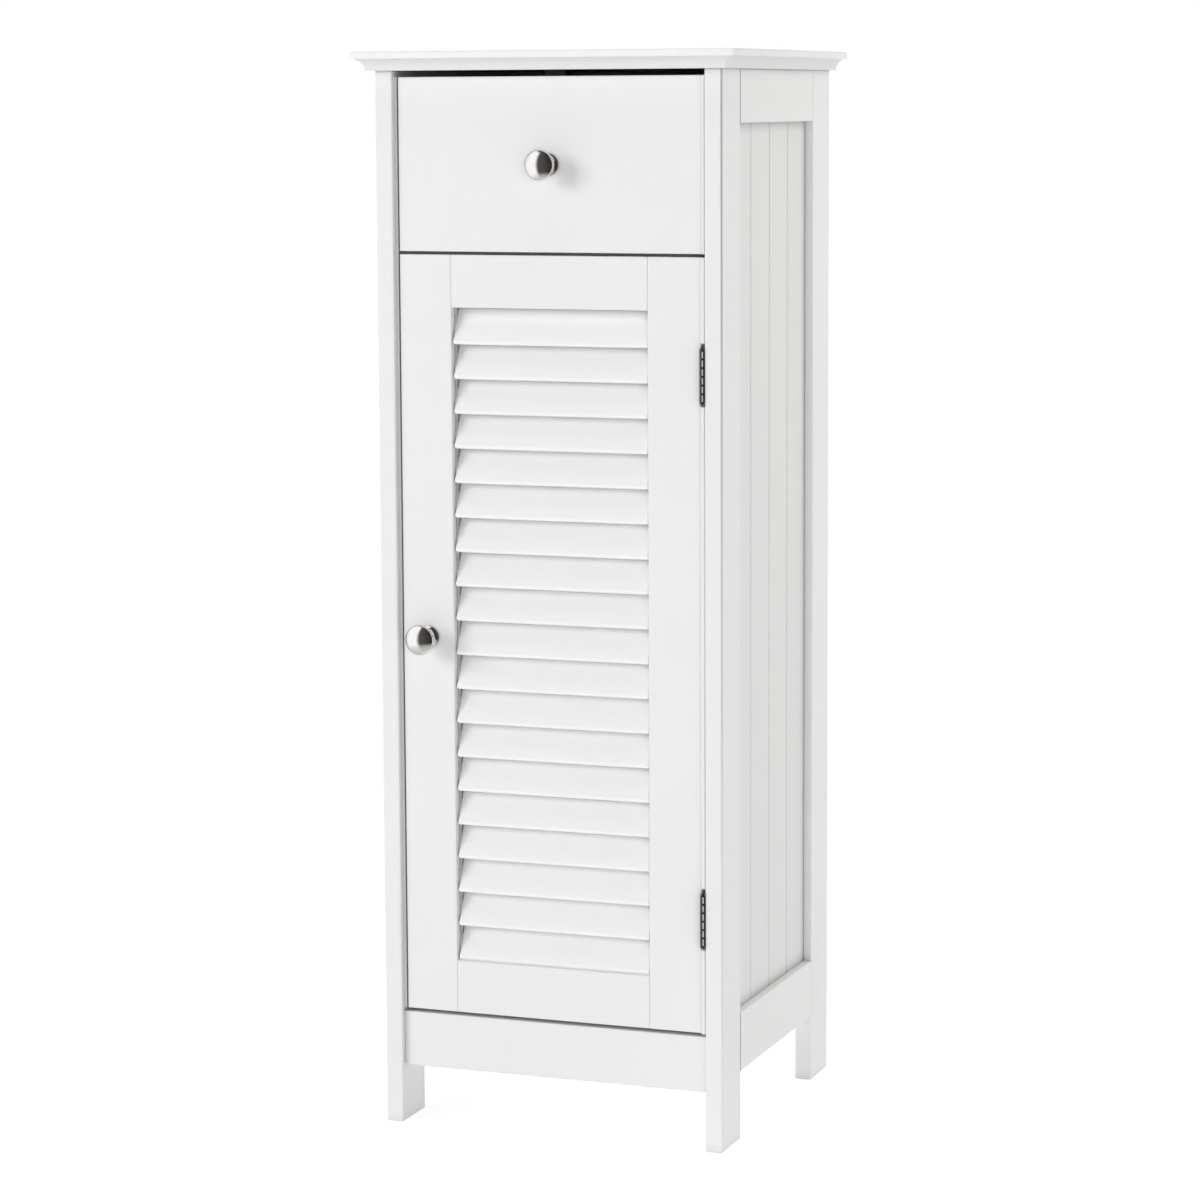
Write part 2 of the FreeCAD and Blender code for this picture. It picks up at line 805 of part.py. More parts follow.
def slat(index):
    """One slat, with a tongue on each end in the stiles' grooves."""
    lowest = opening_bottom + slat_end_clearance + index * slat_pitch
    left = opening_left + slat_end_clearance
    right = opening_right - slat_end_clearance
    body = slat_outline(left, lowest).extrude(X * (right - left))
    reach = door_groove_depth - groove_end_clearance
    long_left = opening_left - reach
    long_body = slat_outline(long_left, lowest).extrude(X * (opening_right + reach - long_left))
    band = block(long_left, opening_right + reach, door_groove_front + joint_clearance,
                 door_groove_back - joint_clearance, opening_bottom, opening_top)
    return fused([body, long_body.common(band)])


def strike_plate():
    """Steel plate on the back of the door's top rail."""
    middle = strike_plate_height_centre
    shape = block(catch_x - strike_plate_length / 2, catch_x + strike_plate_length / 2,
                  door_back, door_back + strike_plate_thickness,
                  middle - strike_plate_height / 2, middle + strike_plate_height / 2)
    return cut_by(shape, door_cutters)


# ---------------------------------------------------------------- hinges


hinge_leaf_cutters = [wood_screw_hole(*place, wood_screw_length)
                      for place in hinge_post_screw_places() + hinge_door_screw_places()]


def hinge_leaf(height, first, side):
    """A leaf: a plate flat on the wood, and every second knuckle round the pin, joined by webs."""
    wood = hinge_x + side * door_hinge_gap / 2
    tangent = hinge_x + side * barrel_diameter / 2
    plate_front = hinge_y + barrel_diameter / 2
    foot = height - barrel_length / 2
    pieces = [block(wood - side * hinge_leaf_thickness, wood, plate_front, hinge_leaf_back,
                    foot, foot + barrel_length)]
    for index in range(first, hinge_knuckles, 2):
        z1 = foot + barrel_length - index * (knuckle_length + knuckle_gap)
        z0 = z1 - knuckle_length
        pieces.append(rod(V(hinge_x, hinge_y, z0), Z, knuckle_length, barrel_diameter / 2))
        pieces.append(block(tangent - side * hinge_leaf_thickness, tangent, hinge_y,
                            plate_front + hinge_web_overlap, z0, z1))
    bore = rod(V(hinge_x, hinge_y, foot), Z, barrel_length, hinge_pin_diameter / 2 + pin_clearance)
    return cut_by(fused(pieces), [bore] + hinge_leaf_cutters)


def hinge_pin(height):
    """Pin with a pointed finial above the barrel and a blunt one below."""
    shank = hinge_pin_diameter / 2
    collar = pin_collar_diameter / 2
    end = barrel_length / 2 + joint_clearance
    outline = polygon([(0, -end - pin_foot_height), (pin_foot_diameter / 2, -end - pin_foot_height),
                       (collar, -end - pin_collar_height), (collar, -end), (shank, -end),
                       (shank, end), (collar, end), (collar, end + pin_collar_height),
                       (0, end + pin_tip_height)])
    return revolved(outline, V(hinge_x, hinge_y, height), Z)


# ---------------------------------------------------------------- knobs


def neck_arc(start, radius, height):
    """Arc that leaves the knob's neck along its side and ends at a radius and height."""
    neck = knob_neck_diameter / 2
    outwards = radius - neck
    rise = height - start
    arc_radius = (outwards ** 2 + rise ** 2) / (2 * outwards)
    half_turn = math.atan2(abs(rise), arc_radius - outwards) / 2
    middle = V(neck + arc_radius * (1 - math.cos(half_turn)), 0,
               start + math.copysign(arc_radius * math.sin(half_turn), rise))
    return Part.Arc(V(neck, 0, start), middle, V(radius, 0, height)).toShape()


def quarter_round(centre, radius, start_deg):
    """Quarter circle of an outline, from a start angle."""
    points = [V(centre.x + radius * math.cos(math.radians(start_deg + turn)), 0,
                centre.z + radius * math.sin(math.radians(start_deg + turn))) for turn in (0, 45, 90)]
    return Part.Arc(*points).toShape()


def knob(face_point):
    """Mushroom knob: a flared base, a neck and a domed head, bored for its screw."""
    base = knob_base_diameter / 2
    neck = knob_neck_diameter / 2
    head = knob_head_diameter / 2
    flare_end = base - knob_base_rounding
    under_end = head - knob_rim_rounding
    round_start = knob_base_thickness - knob_base_rounding
    dome_rise = knob_projection - knob_rim_height
    dome_radius = (head ** 2 + dome_rise ** 2) / (2 * dome_rise)
    half_angle = math.asin(head / dome_radius) / 2
    dome_middle = V(dome_radius * math.sin(half_angle), 0,
                    knob_projection - dome_radius * (1 - math.cos(half_angle)))
    edges = [Part.makeLine(V(0, 0, 0), V(base, 0, 0)),
             Part.makeLine(V(base, 0, 0), V(base, 0, round_start)),
             quarter_round(V(flare_end, 0, round_start), knob_base_rounding, 0),
             neck_arc(knob_neck_start, flare_end, knob_base_thickness),
             Part.makeLine(V(neck, 0, knob_neck_start), V(neck, 0, knob_neck_end)),
             neck_arc(knob_neck_end, under_end, knob_rim_height - knob_rim_rounding),
             quarter_round(V(under_end, 0, knob_rim_height), knob_rim_rounding, -90),
             Part.Arc(V(head, 0, knob_rim_height), dome_middle, V(0, 0, knob_projection)).toShape(),
             Part.makeLine(V(0, 0, knob_projection), V(0, 0, 0))]
    shape = revolved(Part.Wire(edges), face_point, Y * -1)
    bore = rod(face_point, Y * -1, knob_bore_depth, knob_screw_diameter / 2 + hole_clearance)
    return shape.cut(bore)


# ---------------------------------------------------------------- write every node


def save_screws(node, places, length):
    """Write the identical screws of a list of places as one node."""
    save_group(node, [wood_screw(*place, length) for place in places])


save("top_board", top_board())
for name, sign in sides.items():
    save(f"front_post_{name}", front_post(sign))
    save(f"rear_post_{name}", rear_post(sign))
    save(f"upper_side_rail_{name}", upper_side_rail(sign))
    save(f"lower_side_rail_{name}", lower_side_rail(sign))
    save(f"side_panel_{name}", side_panel(sign))
    save(f"drawer_runner_{name}", drawer_runner(sign))
    save(f"drawer_side_{name}", drawer_side(sign))
save("front_apron", front_apron())
save("bottom_board", bottom_board())
save("divider_board", divider_board())
save("back_panel", back_panel())
save("shelf", shelf())
save_group("shelf_pins", [shelf_pin(*place) for place in
                          shelf_pin_points(shelf_pin_height((shelf_rows - 1) // 2))])
save("drawer_stop", drawer_stop())
save("magnetic_catch", magnetic_catch())
save("catch_magnet", catch_magnet())
save_group("dowels", [dowel(*place) for place in carcass_dowel_places()])
save_group("cam_locks", [cam_lock(joint) for joint in carcass_cam_joints()])
save_group("cam_bolts", [cam_bolt(joint) for joint in carcass_cam_joints()])
save_screws("runner_screws", runner_screw_places(), runner_screw_length)
save_screws("catch_screws", catch_screw_places(), catch_screw_length)
save("drawer_stop_screw", wood_screw(*stop_screw_place, stop_screw_length))

save("drawer_front", drawer_front())
save("drawer_back", drawer_back())
save("drawer_bottom", drawer_bottom_slot(0))
save("drawer_knob", knob(V(0, front_face, drawer_knob_height)))
save("drawer_knob_screw", knob_screw(drawer_knob_face, Y * -1, drawer_front_thickness))
save_group("drawer_cam_locks", [cam_lock(joint) for joint in drawer_cam_joints])
save_group("drawer_cam_bolts", [cam_bolt(joint) for joint in drawer_cam_joints])
save_screws("drawer_back_screws", back_screw_places(), back_screw_length)

save("door_stile_knob_side", door_stile(door_left, opening_left, opening_left, -1))
save("door_stile_hinge_side", door_stile(opening_right, door_right, opening_right, 1))
save("door_rail_top", door_rail(opening_top, door_top))
save("door_rail_bottom", door_rail(door_bottom, opening_bottom))
save_group("louvre_slats", [slat(index) for index in range(slat_count)])
save("door_knob", knob(V(door_knob_x, front_face, door_knob_height)))
save("door_knob_screw", knob_screw(door_knob_face, Y * -1, door_thickness))
save("strike_plate", strike_plate())
save("strike_plate_screw", wood_screw(*strike_screw_place, wood_screw_length))
for name, z in hinge_heights.items():
    save(f"hinge_{name}_post_leaf", hinge_leaf(z, 0, 1))
    save(f"hinge_{name}_door_leaf", hinge_leaf(z, 1, -1))
    save(f"hinge_{name}_pin", hinge_pin(z))
save_screws("hinge_post_screws", hinge_post_screw_places(), wood_screw_length)
save_screws("hinge_door_screws", hinge_door_screw_places(), wood_screw_length)
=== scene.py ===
# %% [markdown]
# # A painted cabinet with a drawer and a louvred door
# This lesson dresses a packed construction model. The boards, joints and hinges already exist as
# solids, in metres, with the floor at Z = 0 and the front facing -Y. We load them first, because every
# piece that we make later takes its size and place from them and rides on one of their moving bodies.

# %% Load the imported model
import json
import math

import bmesh
import bpy
from mathutils import Matrix, Vector


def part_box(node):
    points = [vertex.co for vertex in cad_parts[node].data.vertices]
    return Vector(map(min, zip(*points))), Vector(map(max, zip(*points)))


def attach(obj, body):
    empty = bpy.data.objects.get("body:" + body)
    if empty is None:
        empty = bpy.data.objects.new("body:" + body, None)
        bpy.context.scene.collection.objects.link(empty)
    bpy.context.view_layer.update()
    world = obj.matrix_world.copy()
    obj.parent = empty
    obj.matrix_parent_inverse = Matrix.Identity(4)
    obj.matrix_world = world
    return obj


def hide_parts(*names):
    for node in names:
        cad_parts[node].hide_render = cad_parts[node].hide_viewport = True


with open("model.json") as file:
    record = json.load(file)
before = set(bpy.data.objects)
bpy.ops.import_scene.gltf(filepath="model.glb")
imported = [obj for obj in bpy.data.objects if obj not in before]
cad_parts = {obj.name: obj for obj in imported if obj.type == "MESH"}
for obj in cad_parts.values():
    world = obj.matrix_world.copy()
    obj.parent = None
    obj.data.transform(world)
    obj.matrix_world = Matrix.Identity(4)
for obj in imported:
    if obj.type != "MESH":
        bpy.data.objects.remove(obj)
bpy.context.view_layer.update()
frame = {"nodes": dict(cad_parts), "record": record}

body_of = {node: body for body, nodes in frame["record"]["behaviour"]["bodies"].items() for node in nodes}
slot_of = {part["node"]: part["material_slot"] for part in frame["record"]["subparts"]}
mm = 0.001
micron = 0.001 * mm

# %% [markdown]
# ## Shader maths that reads like maths
# A finish is a small network of nodes. Wiring Math nodes by hand is hard to read, so one class wraps a
# socket and lets Python's own operators add the Math nodes. Every other node comes from one method.

# %% A socket that understands + - * **
class Wire:
    """An output socket of a finish, with arithmetic."""

    def __init__(self, finish, socket):
        self.finish = finish
        self.socket = socket

    def maths(self, operation, first, second):
        return self.finish.add("ShaderNodeMath", {"operation": operation}, {0: first, 1: second})

    def __add__(self, other):
        return self.maths("ADD", self, other)

    def __radd__(self, other):
        return self.maths("ADD", other, self)

    def __sub__(self, other):
        return self.maths("SUBTRACT", self, other)

    def __rsub__(self, other):
        return self.maths("SUBTRACT", other, self)

    def __mul__(self, other):
        return self.maths("MULTIPLY", self, other)

    def __rmul__(self, other):
        return self.maths("MULTIPLY", other, self)

    def __pow__(self, other):
        return self.maths("POWER", self, other)

    def most(self, other):
        return self.maths("MAXIMUM", self, other)


class Finish:
    """One node material under construction."""

    def __init__(self, name, tree=None):
        if tree is None:
            self.material = bpy.data.materials.new(name)
            self.material.use_nodes = True
            tree = self.material.node_tree
        self.tree = tree
        self.tree.nodes.clear()

    def add(self, kind, settings=None, sockets=None, out=0):
        """Add a node: settings first, then the values or wires of its sockets."""
        node = self.tree.nodes.new(kind)
        for name, value in (settings or {}).items():
            setattr(node, name, value)
        for name, value in (sockets or {}).items():
            if isinstance(value, Wire):
                self.tree.links.new(value.socket, node.inputs[name])
            else:
                node.inputs[name].default_value = value
        return Wire(self, node.outputs[out])

    def place(self, stretch=(1.0, 1.0, 1.0)):
        """Object coordinates, scaled by a Mapping node."""
        where = self.add("ShaderNodeTexCoord", out="Object")
        return self.add("ShaderNodeMapping", {}, {"Vector": where, "Scale": stretch})

    def coordinate(self, axis):
        """One Object coordinate in metres: X, Y or Z."""
        where = self.add("ShaderNodeTexCoord", out="Object")
        return self.add("ShaderNodeSeparateXYZ", {}, {0: where}, out=axis)

    def azimuth(self, east, south):
        """Degrees round an upright axis: 0 towards the front and 90 towards the right."""
        radians = self.add("ShaderNodeMath", {"operation": "ARCTAN2"}, {0: east, 1: south})
        return radians * math.degrees(1.0)

    def noise(self, where, scale, detail=2.0, roughness=0.5):
        """Soft noise from 0 to 1; scale counts its blobs per metre."""
        return self.add("ShaderNodeTexNoise", {}, {"Vector": where, "Scale": scale, "Detail": detail,
                                                   "Roughness": roughness})

    def ease(self, value, start, end):
        """0 before start, 1 after end, with a soft step between."""
        return self.add("ShaderNodeMapRange", {"interpolation_type": "SMOOTHSTEP"},
                        {"Value": value, "From Min": start, "From Max": end})

    def blend(self, factor, first, second):
        """A colour between two colours."""
        return self.add("ShaderNodeMix", {"data_type": "RGBA"}, {0: factor, 6: first, 7: second}, out=2)

    def bump(self, height, distance, under=None):
        """A normal from a height of 0 to 1, over a distance in metres, on top of another normal."""
        sockets = {"Height": height, "Distance": distance, "Strength": 1.0}
        if under:
            sockets["Normal"] = under
        return self.add("ShaderNodeBump", {}, sockets)

    def in_sight(self):
        """1 where the surface is seen, straight, in a mirror or through glass; 0 where it gives light."""
        seen = [self.add("ShaderNodeLightPath", out="Is %s Ray" % kind)
                for kind in ("Camera", "Glossy", "Transmission")]
        return seen[0].most(seen[1]).most(seen[2])

    def surface(self, **sockets):
        """Finish with a Principled surface."""
        names = {key.replace("_", " "): value for key, value in sockets.items()}
        shader = self.add("ShaderNodeBsdfPrincipled", {}, names)
        self.add_output(shader)
        return self.material

    def add_output(self, shader, kind="ShaderNodeOutputMaterial"):
        """Join the last shader to the output."""
        end = self.tree.nodes.new(kind)
        self.tree.links.new(shader.socket, end.inputs["Surface"])


def grey(value, warmth=0.0):
    """A near-grey in linear light from a display value of 0 to 1; warmth takes blue out."""
    def linear(v):
        return v / 12.92 if v <= 0.04045 else ((v + 0.055) / 1.055) ** 2.4
    return (linear(value + warmth * 0.5), linear(value), linear(value - warmth), 1.0)


# %% [markdown]
# ## Sprayed satin lacquer
# The real boards are fibreboard sprayed white. The film is even, but never perfect: it has a fine
# orange peel, it clouds a little from thick to thin, and its gloss drifts. A flat white would look like
# plastic, so the noises below move the colour by a percent or so, and carry the gloss and the bump.
#
# Two things make white furniture readable. An Ambient Occlusion node darkens the colour in hollows up to 10
# mm deep, which is painted shade. Sanded edges are soft, so a Bevel node rounds the shading of every arris
# by less than 2 mm without touching the mesh.

# %% The lacquer
cloud_scale, speck_scale, peel_scale, ripple_scale = 7.0, 260.0, 420.0, 38.0
# Depth up to which the lacquer darkens in hollows: painted shade.
hollow_shade_reach = 10.0 * mm


def lacquer(name, tone, roughness, peel=30.0 * micron, warmth=0.0, edge=0.0, painted_light=None, painted_light_tone=0.74,
            hollow_shade=0.085):
    """Tones are display values and peel is the bump's height. The darkening in hollows is painted shade,
    and the mask blends in a second tone, which paints shade or a highlight.
    """
    finish = Finish(name)
    where = finish.place()
    cloud = finish.noise(where, cloud_scale, 3.0)
    speck = finish.noise(where, speck_scale, 2.0)
    orange_peel = finish.noise(where, peel_scale, 2.0, 0.55)
    ripple = finish.noise(where, ripple_scale, 1.0)
    thin, thick = grey(tone - 0.010, warmth), grey(tone + 0.006, warmth)
    colour = finish.blend(cloud * 0.8 + speck * 0.2, thin, thick)
    # Painted shade: ambient occlusion darkens the colour in hollows.
    hollow = finish.add("ShaderNodeAmbientOcclusion", {"samples": 6}, {"Distance": hollow_shade_reach}, out="AO")
    colour = finish.blend(hollow, grey(tone - hollow_shade, warmth + 0.006), colour)
    # The mask blends in a second tone: painted shade or a painted highlight.
    if painted_light:
        colour = finish.blend(painted_light(finish) * (0.75 + speck * 0.5), colour, grey(painted_light_tone, 0.004))
    gloss = roughness + (cloud - 0.5) * 0.10 + (speck - 0.5) * 0.06
    sanded = finish.add("ShaderNodeBevel", {"samples": 6}, {"Radius": edge}) if edge else None
    normal = finish.bump(orange_peel * 0.5 + ripple * 0.5, peel, under=sanded)
    return finish.surface(Base_Color=colour, Roughness=gloss, Normal=normal)


# %% [markdown]
# ## Places where light and shade are painted into the lacquer
# The front corner of the right post gets painted shade, the ends of the side rails get the painted shadow
# of a fine open joint, and the lip of the top gets a painted highlight. Each is a mask worked out from
# Object coordinates and the boxes of the boards, so it stays with the wood when the model moves.

# %% Masks for the special places
def shade_painted_on_post_arris(finish):
    """1 along the outer front corner of the right post, where shade is painted, more higher up."""
    x, y, z = map(finish.coordinate, "XYZ")
    lo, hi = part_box("front_post_right")
    outer = finish.ease(x, hi.x - 1.4 * mm, hi.x - 0.7 * mm)
    front = 1.0 - finish.ease(y, lo.y + 1.6 * mm, lo.y + 2.8 * mm)
    more_higher_up = 0.05 + finish.ease(z, 0.0, 0.9) * 0.95
    return outer * front * more_higher_up


def joint_shadow_painted(finish):
    """1 where the shadow of a fine open joint between the side rails and the front post is painted, less at
    the rear one.
    """
    y = finish.coordinate("Y")
    front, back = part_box("front_post_right")[1].y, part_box("rear_post_right")[0].y
    front_joint_shadow = 1.0 - finish.ease(y, front + 1.0 * mm, front + 2.0 * mm)
    rear_joint_shadow = finish.ease(y, back - 1.4 * mm, back - 0.6 * mm) * 0.35
    return front_joint_shadow.most(rear_joint_shadow)


def highlight_painted_on_lip(finish):
    """1 on the front lip of the top, where a highlight is painted; less on the rest; 0 in the cove."""
    y, z = map(finish.coordinate, "YZ")
    front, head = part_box("top_board")[0].y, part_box("top_board")[1].z
    lip = finish.ease(z, head - 6.5 * mm, head - 5.2 * mm)
    return lip * (1.0 - finish.ease(y, front + 2.0 * mm, front + 6.0 * mm) * 0.5)


# %% The painted finishes
board_tone, board_gloss, sanded = 0.957, 0.44, 1.7 * mm
# The slat tone is lighter than the boards' tone: painted light.
top_tone, slat_lightened_tone, fine_gloss = 0.925, 0.992, 0.42
paint = lacquer("satin_white_lacquer", board_tone, board_gloss, edge=sanded)
# Posts: painted shade along the right post's outer front corner.
post_paint_arris_shade = lacquer("satin_white_post_lacquer", board_tone, board_gloss, edge=sanded, painted_light=shade_painted_on_post_arris)
# Top: darker than the boards, strong painted shade in the cove and a painted highlight on the lip.
top_paint_shade_and_highlight = lacquer("satin_white_top_lacquer_shade_and_highlight", top_tone, fine_gloss, painted_light=highlight_painted_on_lip, painted_light_tone=0.985,
                    hollow_shade=0.30)
# Slats: a lighter tone, painted light that makes up for the shade between them, and no hollow shade.
slat_lightened_paint = lacquer("satin_white_slat_lacquer_lightened", slat_lightened_tone, fine_gloss, hollow_shade=0.0)
# Top slat: the same lighter tone, with painted shade in its hollow under the rail.
top_slat_shaded_paint = lacquer("satin_white_top_slat_lacquer_hollow_shade", slat_lightened_tone, fine_gloss, hollow_shade=0.13)
# Panels: darker than the boards, with strong painted shade in their hollows.
panel_paint_hollow_shade = lacquer("satin_white_panel_lacquer_hollow_shade", 0.928, 0.46, hollow_shade=0.30)
# Rails: the painted shadow of a fine open joint at their ends.
rail_paint_joint_shadow = lacquer("satin_white_rail_lacquer_joint_shadow", board_tone, board_gloss, edge=sanded, painted_light=joint_shadow_painted,
                     painted_light_tone=0.62)
foil = lacquer("white_foil_board", 0.925, 0.55, peel=20.0 * micron, warmth=0.004)
plastic = lacquer("moulded_white_plastic", 0.915, 0.38, peel=10.0 * micron, warmth=0.008)
# Dark plastic: the drawer stop is coloured dark so that it reads as the shade of the gap, painted shade.
gap_shade_plastic = lacquer("moulded_plastic_dark_as_gap_shade", 0.16, fine_gloss, peel=10.0 * micron, warmth=0.004)
print("painted finishes:", len(bpy.data.materials))

# %% [markdown]
# ## Metals
# The knobs are turned and polished nickel plate: an almost perfect mirror with faint rings from the
# polishing wheel. A low Specular Tint darkens the plate where it is seen at a glancing angle, a painted
# shade that gives the knobs a thin dark outline. The hinge parts are black nickel, tumbled rather than
# polished, so they are darker and rougher. Along the crown of their knuckles a mask round the pin's axis
# paints a light dash, a painted highlight. Screws are zinc plated, with cloudy patches.

# %% The metals
patch_scale, hairline_scale, ring_squeeze = 160.0, 900.0, (1.0, 1.0, 9.0)
highlight_tone, knuckles = 0.92, 6


def plated(name, tone, roughness, scratch, warmth=0.0, patchy=0.03, rim=1.0, painted_highlight=None):
    """Scratch is the hairlines' height, and rim tints what is seen at a glancing angle; a low rim paints a
    dark outline. The mask paints a lighter, less metallic highlight.
    """
    finish = Finish(name)
    cloud = finish.noise(finish.place(), patch_scale, 3.0)
    hairline = finish.noise(finish.place(stretch=ring_squeeze), hairline_scale, 2.0)
    colour = finish.blend(cloud, grey(tone - patchy, warmth), grey(tone + patchy, warmth))
    gloss = (roughness + (cloud - 0.5) * roughness * 0.5 + (hairline - 0.5) * roughness * 0.3).most(0.02)
    metal = 1.0
    # A painted highlight: a lighter, rougher and less metallic colour where the mask is 1.
    if painted_highlight:
        highlight = painted_highlight(finish)
        colour = finish.blend(highlight, colour, grey(highlight_tone))
        gloss = gloss + highlight * 0.3
        metal = 1.0 - highlight * 0.8
    return finish.surface(Base_Color=colour, Metallic=metal, Roughness=gloss,
                          Normal=finish.bump(hairline, scratch),
                          Specular_Tint=(rim, rim, rim * 0.96, 1.0))


def highlight_dashes_on_barrel(level):
    """A mask for one hinge: 1 in a dash along the crown of each knuckle, where a highlight is painted."""
    pin_lo, pin_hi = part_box("hinge_%s_pin" % level)
    leaf_lo, leaf_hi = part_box("hinge_%s_post_leaf" % level)

    def mask(finish):
        x, y, z = map(finish.coordinate, "XYZ")
        azimuth = finish.azimuth(x - (pin_lo.x + pin_hi.x) / 2, (pin_lo.y + pin_hi.y) / 2 - y)
        line = finish.ease(azimuth, 8.0, 18.0) * (1.0 - finish.ease(azimuth, 34.0, 44.0))
        turn_per_metre = 2 * math.pi * knuckles / (leaf_hi.z - leaf_lo.z)
        joint = finish.add("ShaderNodeMath", {"operation": "COSINE"}, {0: (z - leaf_lo.z) * turn_per_metre})
        return line * (1.0 - finish.ease(joint, 0.5, 0.97) * 0.9)
    return mask


# A low rim tint darkens the knobs at glancing angles: a painted dark outline.
polished = plated("polished_nickel", 0.92, 0.12, 0.4 * micron, warmth=0.006, rim=0.12)
tumbled = plated("tumbled_black_nickel", 0.50, 0.16, 1.0 * micron, warmth=0.012)
highlighted_barrel = {}
# Black nickel with painted highlight dashes along the knuckles.
for level in ("upper", "lower"):
    highlighted_barrel[level] = plated("black_nickel_painted_highlight_" + level, 0.32, 0.16, 1.0 * micron, warmth=0.012,
                                  painted_highlight=highlight_dashes_on_barrel(level))
zinc = plated("bright_zinc_plate", 0.80, 0.30, 2.0 * micron)
cast = plated("cast_zinc_alloy", 0.68, 0.42, 6.0 * micron, patchy=0.05)
ferrite = plated("ferrite_magnet", 0.30, 0.55, 6.0 * micron, patchy=0.04)
print("finishes with the metals:", len(bpy.data.materials))

# %% [markdown]
# ## Bare beech
# The runners and dowels are unpainted beech. Its grain runs along the strip, with short dark flecks. A
# noise that is squeezed along one axis draws long fibres, and a second, shorter one draws the flecks.

# %% The beech
light_beech, dark_beech = (0.62, 0.43, 0.26, 1.0), (0.44, 0.27, 0.14, 1.0)
fibre_scale, band_scale, fleck_scale = 900.0, 140.0, 1500.0


def beech(name, along):
    finish = Finish(name)
    where, short = (finish.place(stretch=[squeeze if axis == along else 1.0 for axis in "XYZ"])
                    for squeeze in (0.06, 0.25))
    fibre = finish.noise(where, fibre_scale, 4.0, 0.6)
    band = finish.noise(where, band_scale, 2.0)
    fleck = finish.noise(short, fleck_scale, 1.0)
    colour = finish.blend(band * 0.6 + fibre * 0.3 + (fleck ** 3.0) * 0.6, light_beech, dark_beech)
    return finish.surface(Base_Color=colour, Roughness=0.55 + fibre * 0.2,
                          Normal=finish.bump(fibre, 60.0 * micron))


beech_long = beech("beech_along_the_runner", "Y")
beech_dowel = beech("beech_dowel", "X")
print("wood finishes:", beech_long.name, beech_dowel.name)

# %% [markdown]
# ## Give every construction part its finish
# Where the solid's own shape is right, the part stays and only its finish changes. The record says
# which material slot each part belongs to, so one table turns slots into finishes. A few parts then get a
# variant: beech that runs along the dowels, a drawer stop made dark as painted shade of the gap over it,
# and the lacquers of the posts, rails and panels, which carry painted shade.

# %% Paint the solids that stay
finish_of = {"white_paint": paint, "white_board": foil, "white_plastic": plastic,
             "polished_nickel": polished, "nickel": tumbled, "plated_steel": zinc,
             "zinc_screws": zinc, "cast_zinc": cast, "magnet": ferrite, "beech": beech_long}
for node, slot in slot_of.items():
    part = frame["nodes"][node]
    part.data.materials.clear()
    part.data.materials.append(finish_of[slot])
# The drawer stop is dark as painted shade of the gap over the drawer.
variants = {"dowels": beech_dowel, "drawer_stop": gap_shade_plastic}
for side in ("left", "right"):
    variants["side_panel_" + side] = panel_paint_hollow_shade
    variants.update({end + "_post_" + side: post_paint_arris_shade for end in ("front", "rear")})
    variants.update({level + "_side_rail_" + side: rail_paint_joint_shadow for level in ("upper", "lower")})
for node, variant in variants.items():
    frame["nodes"][node].data.materials[0] = variant
print("nodes with a finish:", len(slot_of), "variants:", len(variants))

# %% [markdown]
# ## Small helpers for modelling
# A new piece starts as a bmesh, is shaped by bmesh operators, and ends as an object that rides on its
# body. Corners sharper than 38 degrees stay crisp and the weighted normals keep broad faces flat right
# up to their rounded edges. Many parts of the model are sets of equal solids, such as screws, so one
# helper finds the box of every solid in a part. Those boxes tell us where each new piece goes.

# %% Turn a bmesh into a piece
crisp_angle = math.radians(38.0)
same_place = 0.002 * mm
put_in_scene = bpy.context.scene.collection.objects.link


def piece(name, bm, finish, node, stands_for=True):
    """Make an object from a bmesh. It rides with a part and, where it stands for that part, hides it."""
    bmesh.ops.recalc_face_normals(bm, faces=bm.faces)
    mesh = as_mesh(name, bm)
    mesh.materials.append(finish)
    mesh.shade_smooth()
    mesh.set_sharp_from_angle(angle=crisp_angle)
    obj = bpy.data.objects.new(name, mesh)
    put_in_scene(obj)
    weighted = obj.modifiers.new("flat_faces_stay_flat", "WEIGHTED_NORMAL")
    weighted.keep_sharp = True
    weighted.weight = 100
    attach(obj, body_of[node])
    if stands_for:
        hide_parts(node)
    print(name, "faces:", len(mesh.polygons))


def as_mesh(name, bm):
    """Keep a bmesh as a mesh, for a piece or to be copied to many places."""
    mesh = bpy.data.meshes.new(name)
    bm.to_mesh(mesh)
    bm.free()
    return mesh


# %% Find the solids of a part
def solids_of(node):
    """The box of every separate solid of a part, lowest first."""
    bm = bmesh.new()
    bm.from_mesh(frame["nodes"][node].data)
    bmesh.ops.remove_doubles(bm, verts=bm.verts, dist=same_place)
    waiting, boxes = set(bm.verts), []
    while waiting:
        island, edge_of_island = set(), [waiting.pop()]
        while edge_of_island:
            vert = edge_of_island.pop()
            island.add(vert)
            for edge in vert.link_edges:
                other = edge.other_vert(vert)
                if other in waiting:
                    waiting.discard(other)
                    edge_of_island.append(other)
        lo = Vector([min(v.co[axis] for v in island) for axis in range(3)])
        hi = Vector([max(v.co[axis] for v in island) for axis in range(3)])
        boxes.append((lo, hi))
    bm.free()
    return sorted(boxes, key=lambda box: (round(box[0].z, 4), round(box[0].x, 4), round(box[0].y, 4)))


print("cam locks:", len(solids_of("cam_locks")))


# %% Shapes and cuts
def everything(bm):
    """All that a cut may touch."""
    return bm.verts[:] + bm.edges[:] + bm.faces[:]


def only(kind, items):
    """The vertices, the edges or the faces out of what an operator gives back."""
    return [item for item in items if isinstance(item, kind)]


def soften(bm, edges, radius, segments=3):
    """Round edges of a shape."""
    bmesh.ops.bevel(bm, geom=edges, offset=radius, offset_type="OFFSET", affect="EDGES",
                    segments=segments, profile=0.5, material=-1, clamp_overlap=True)


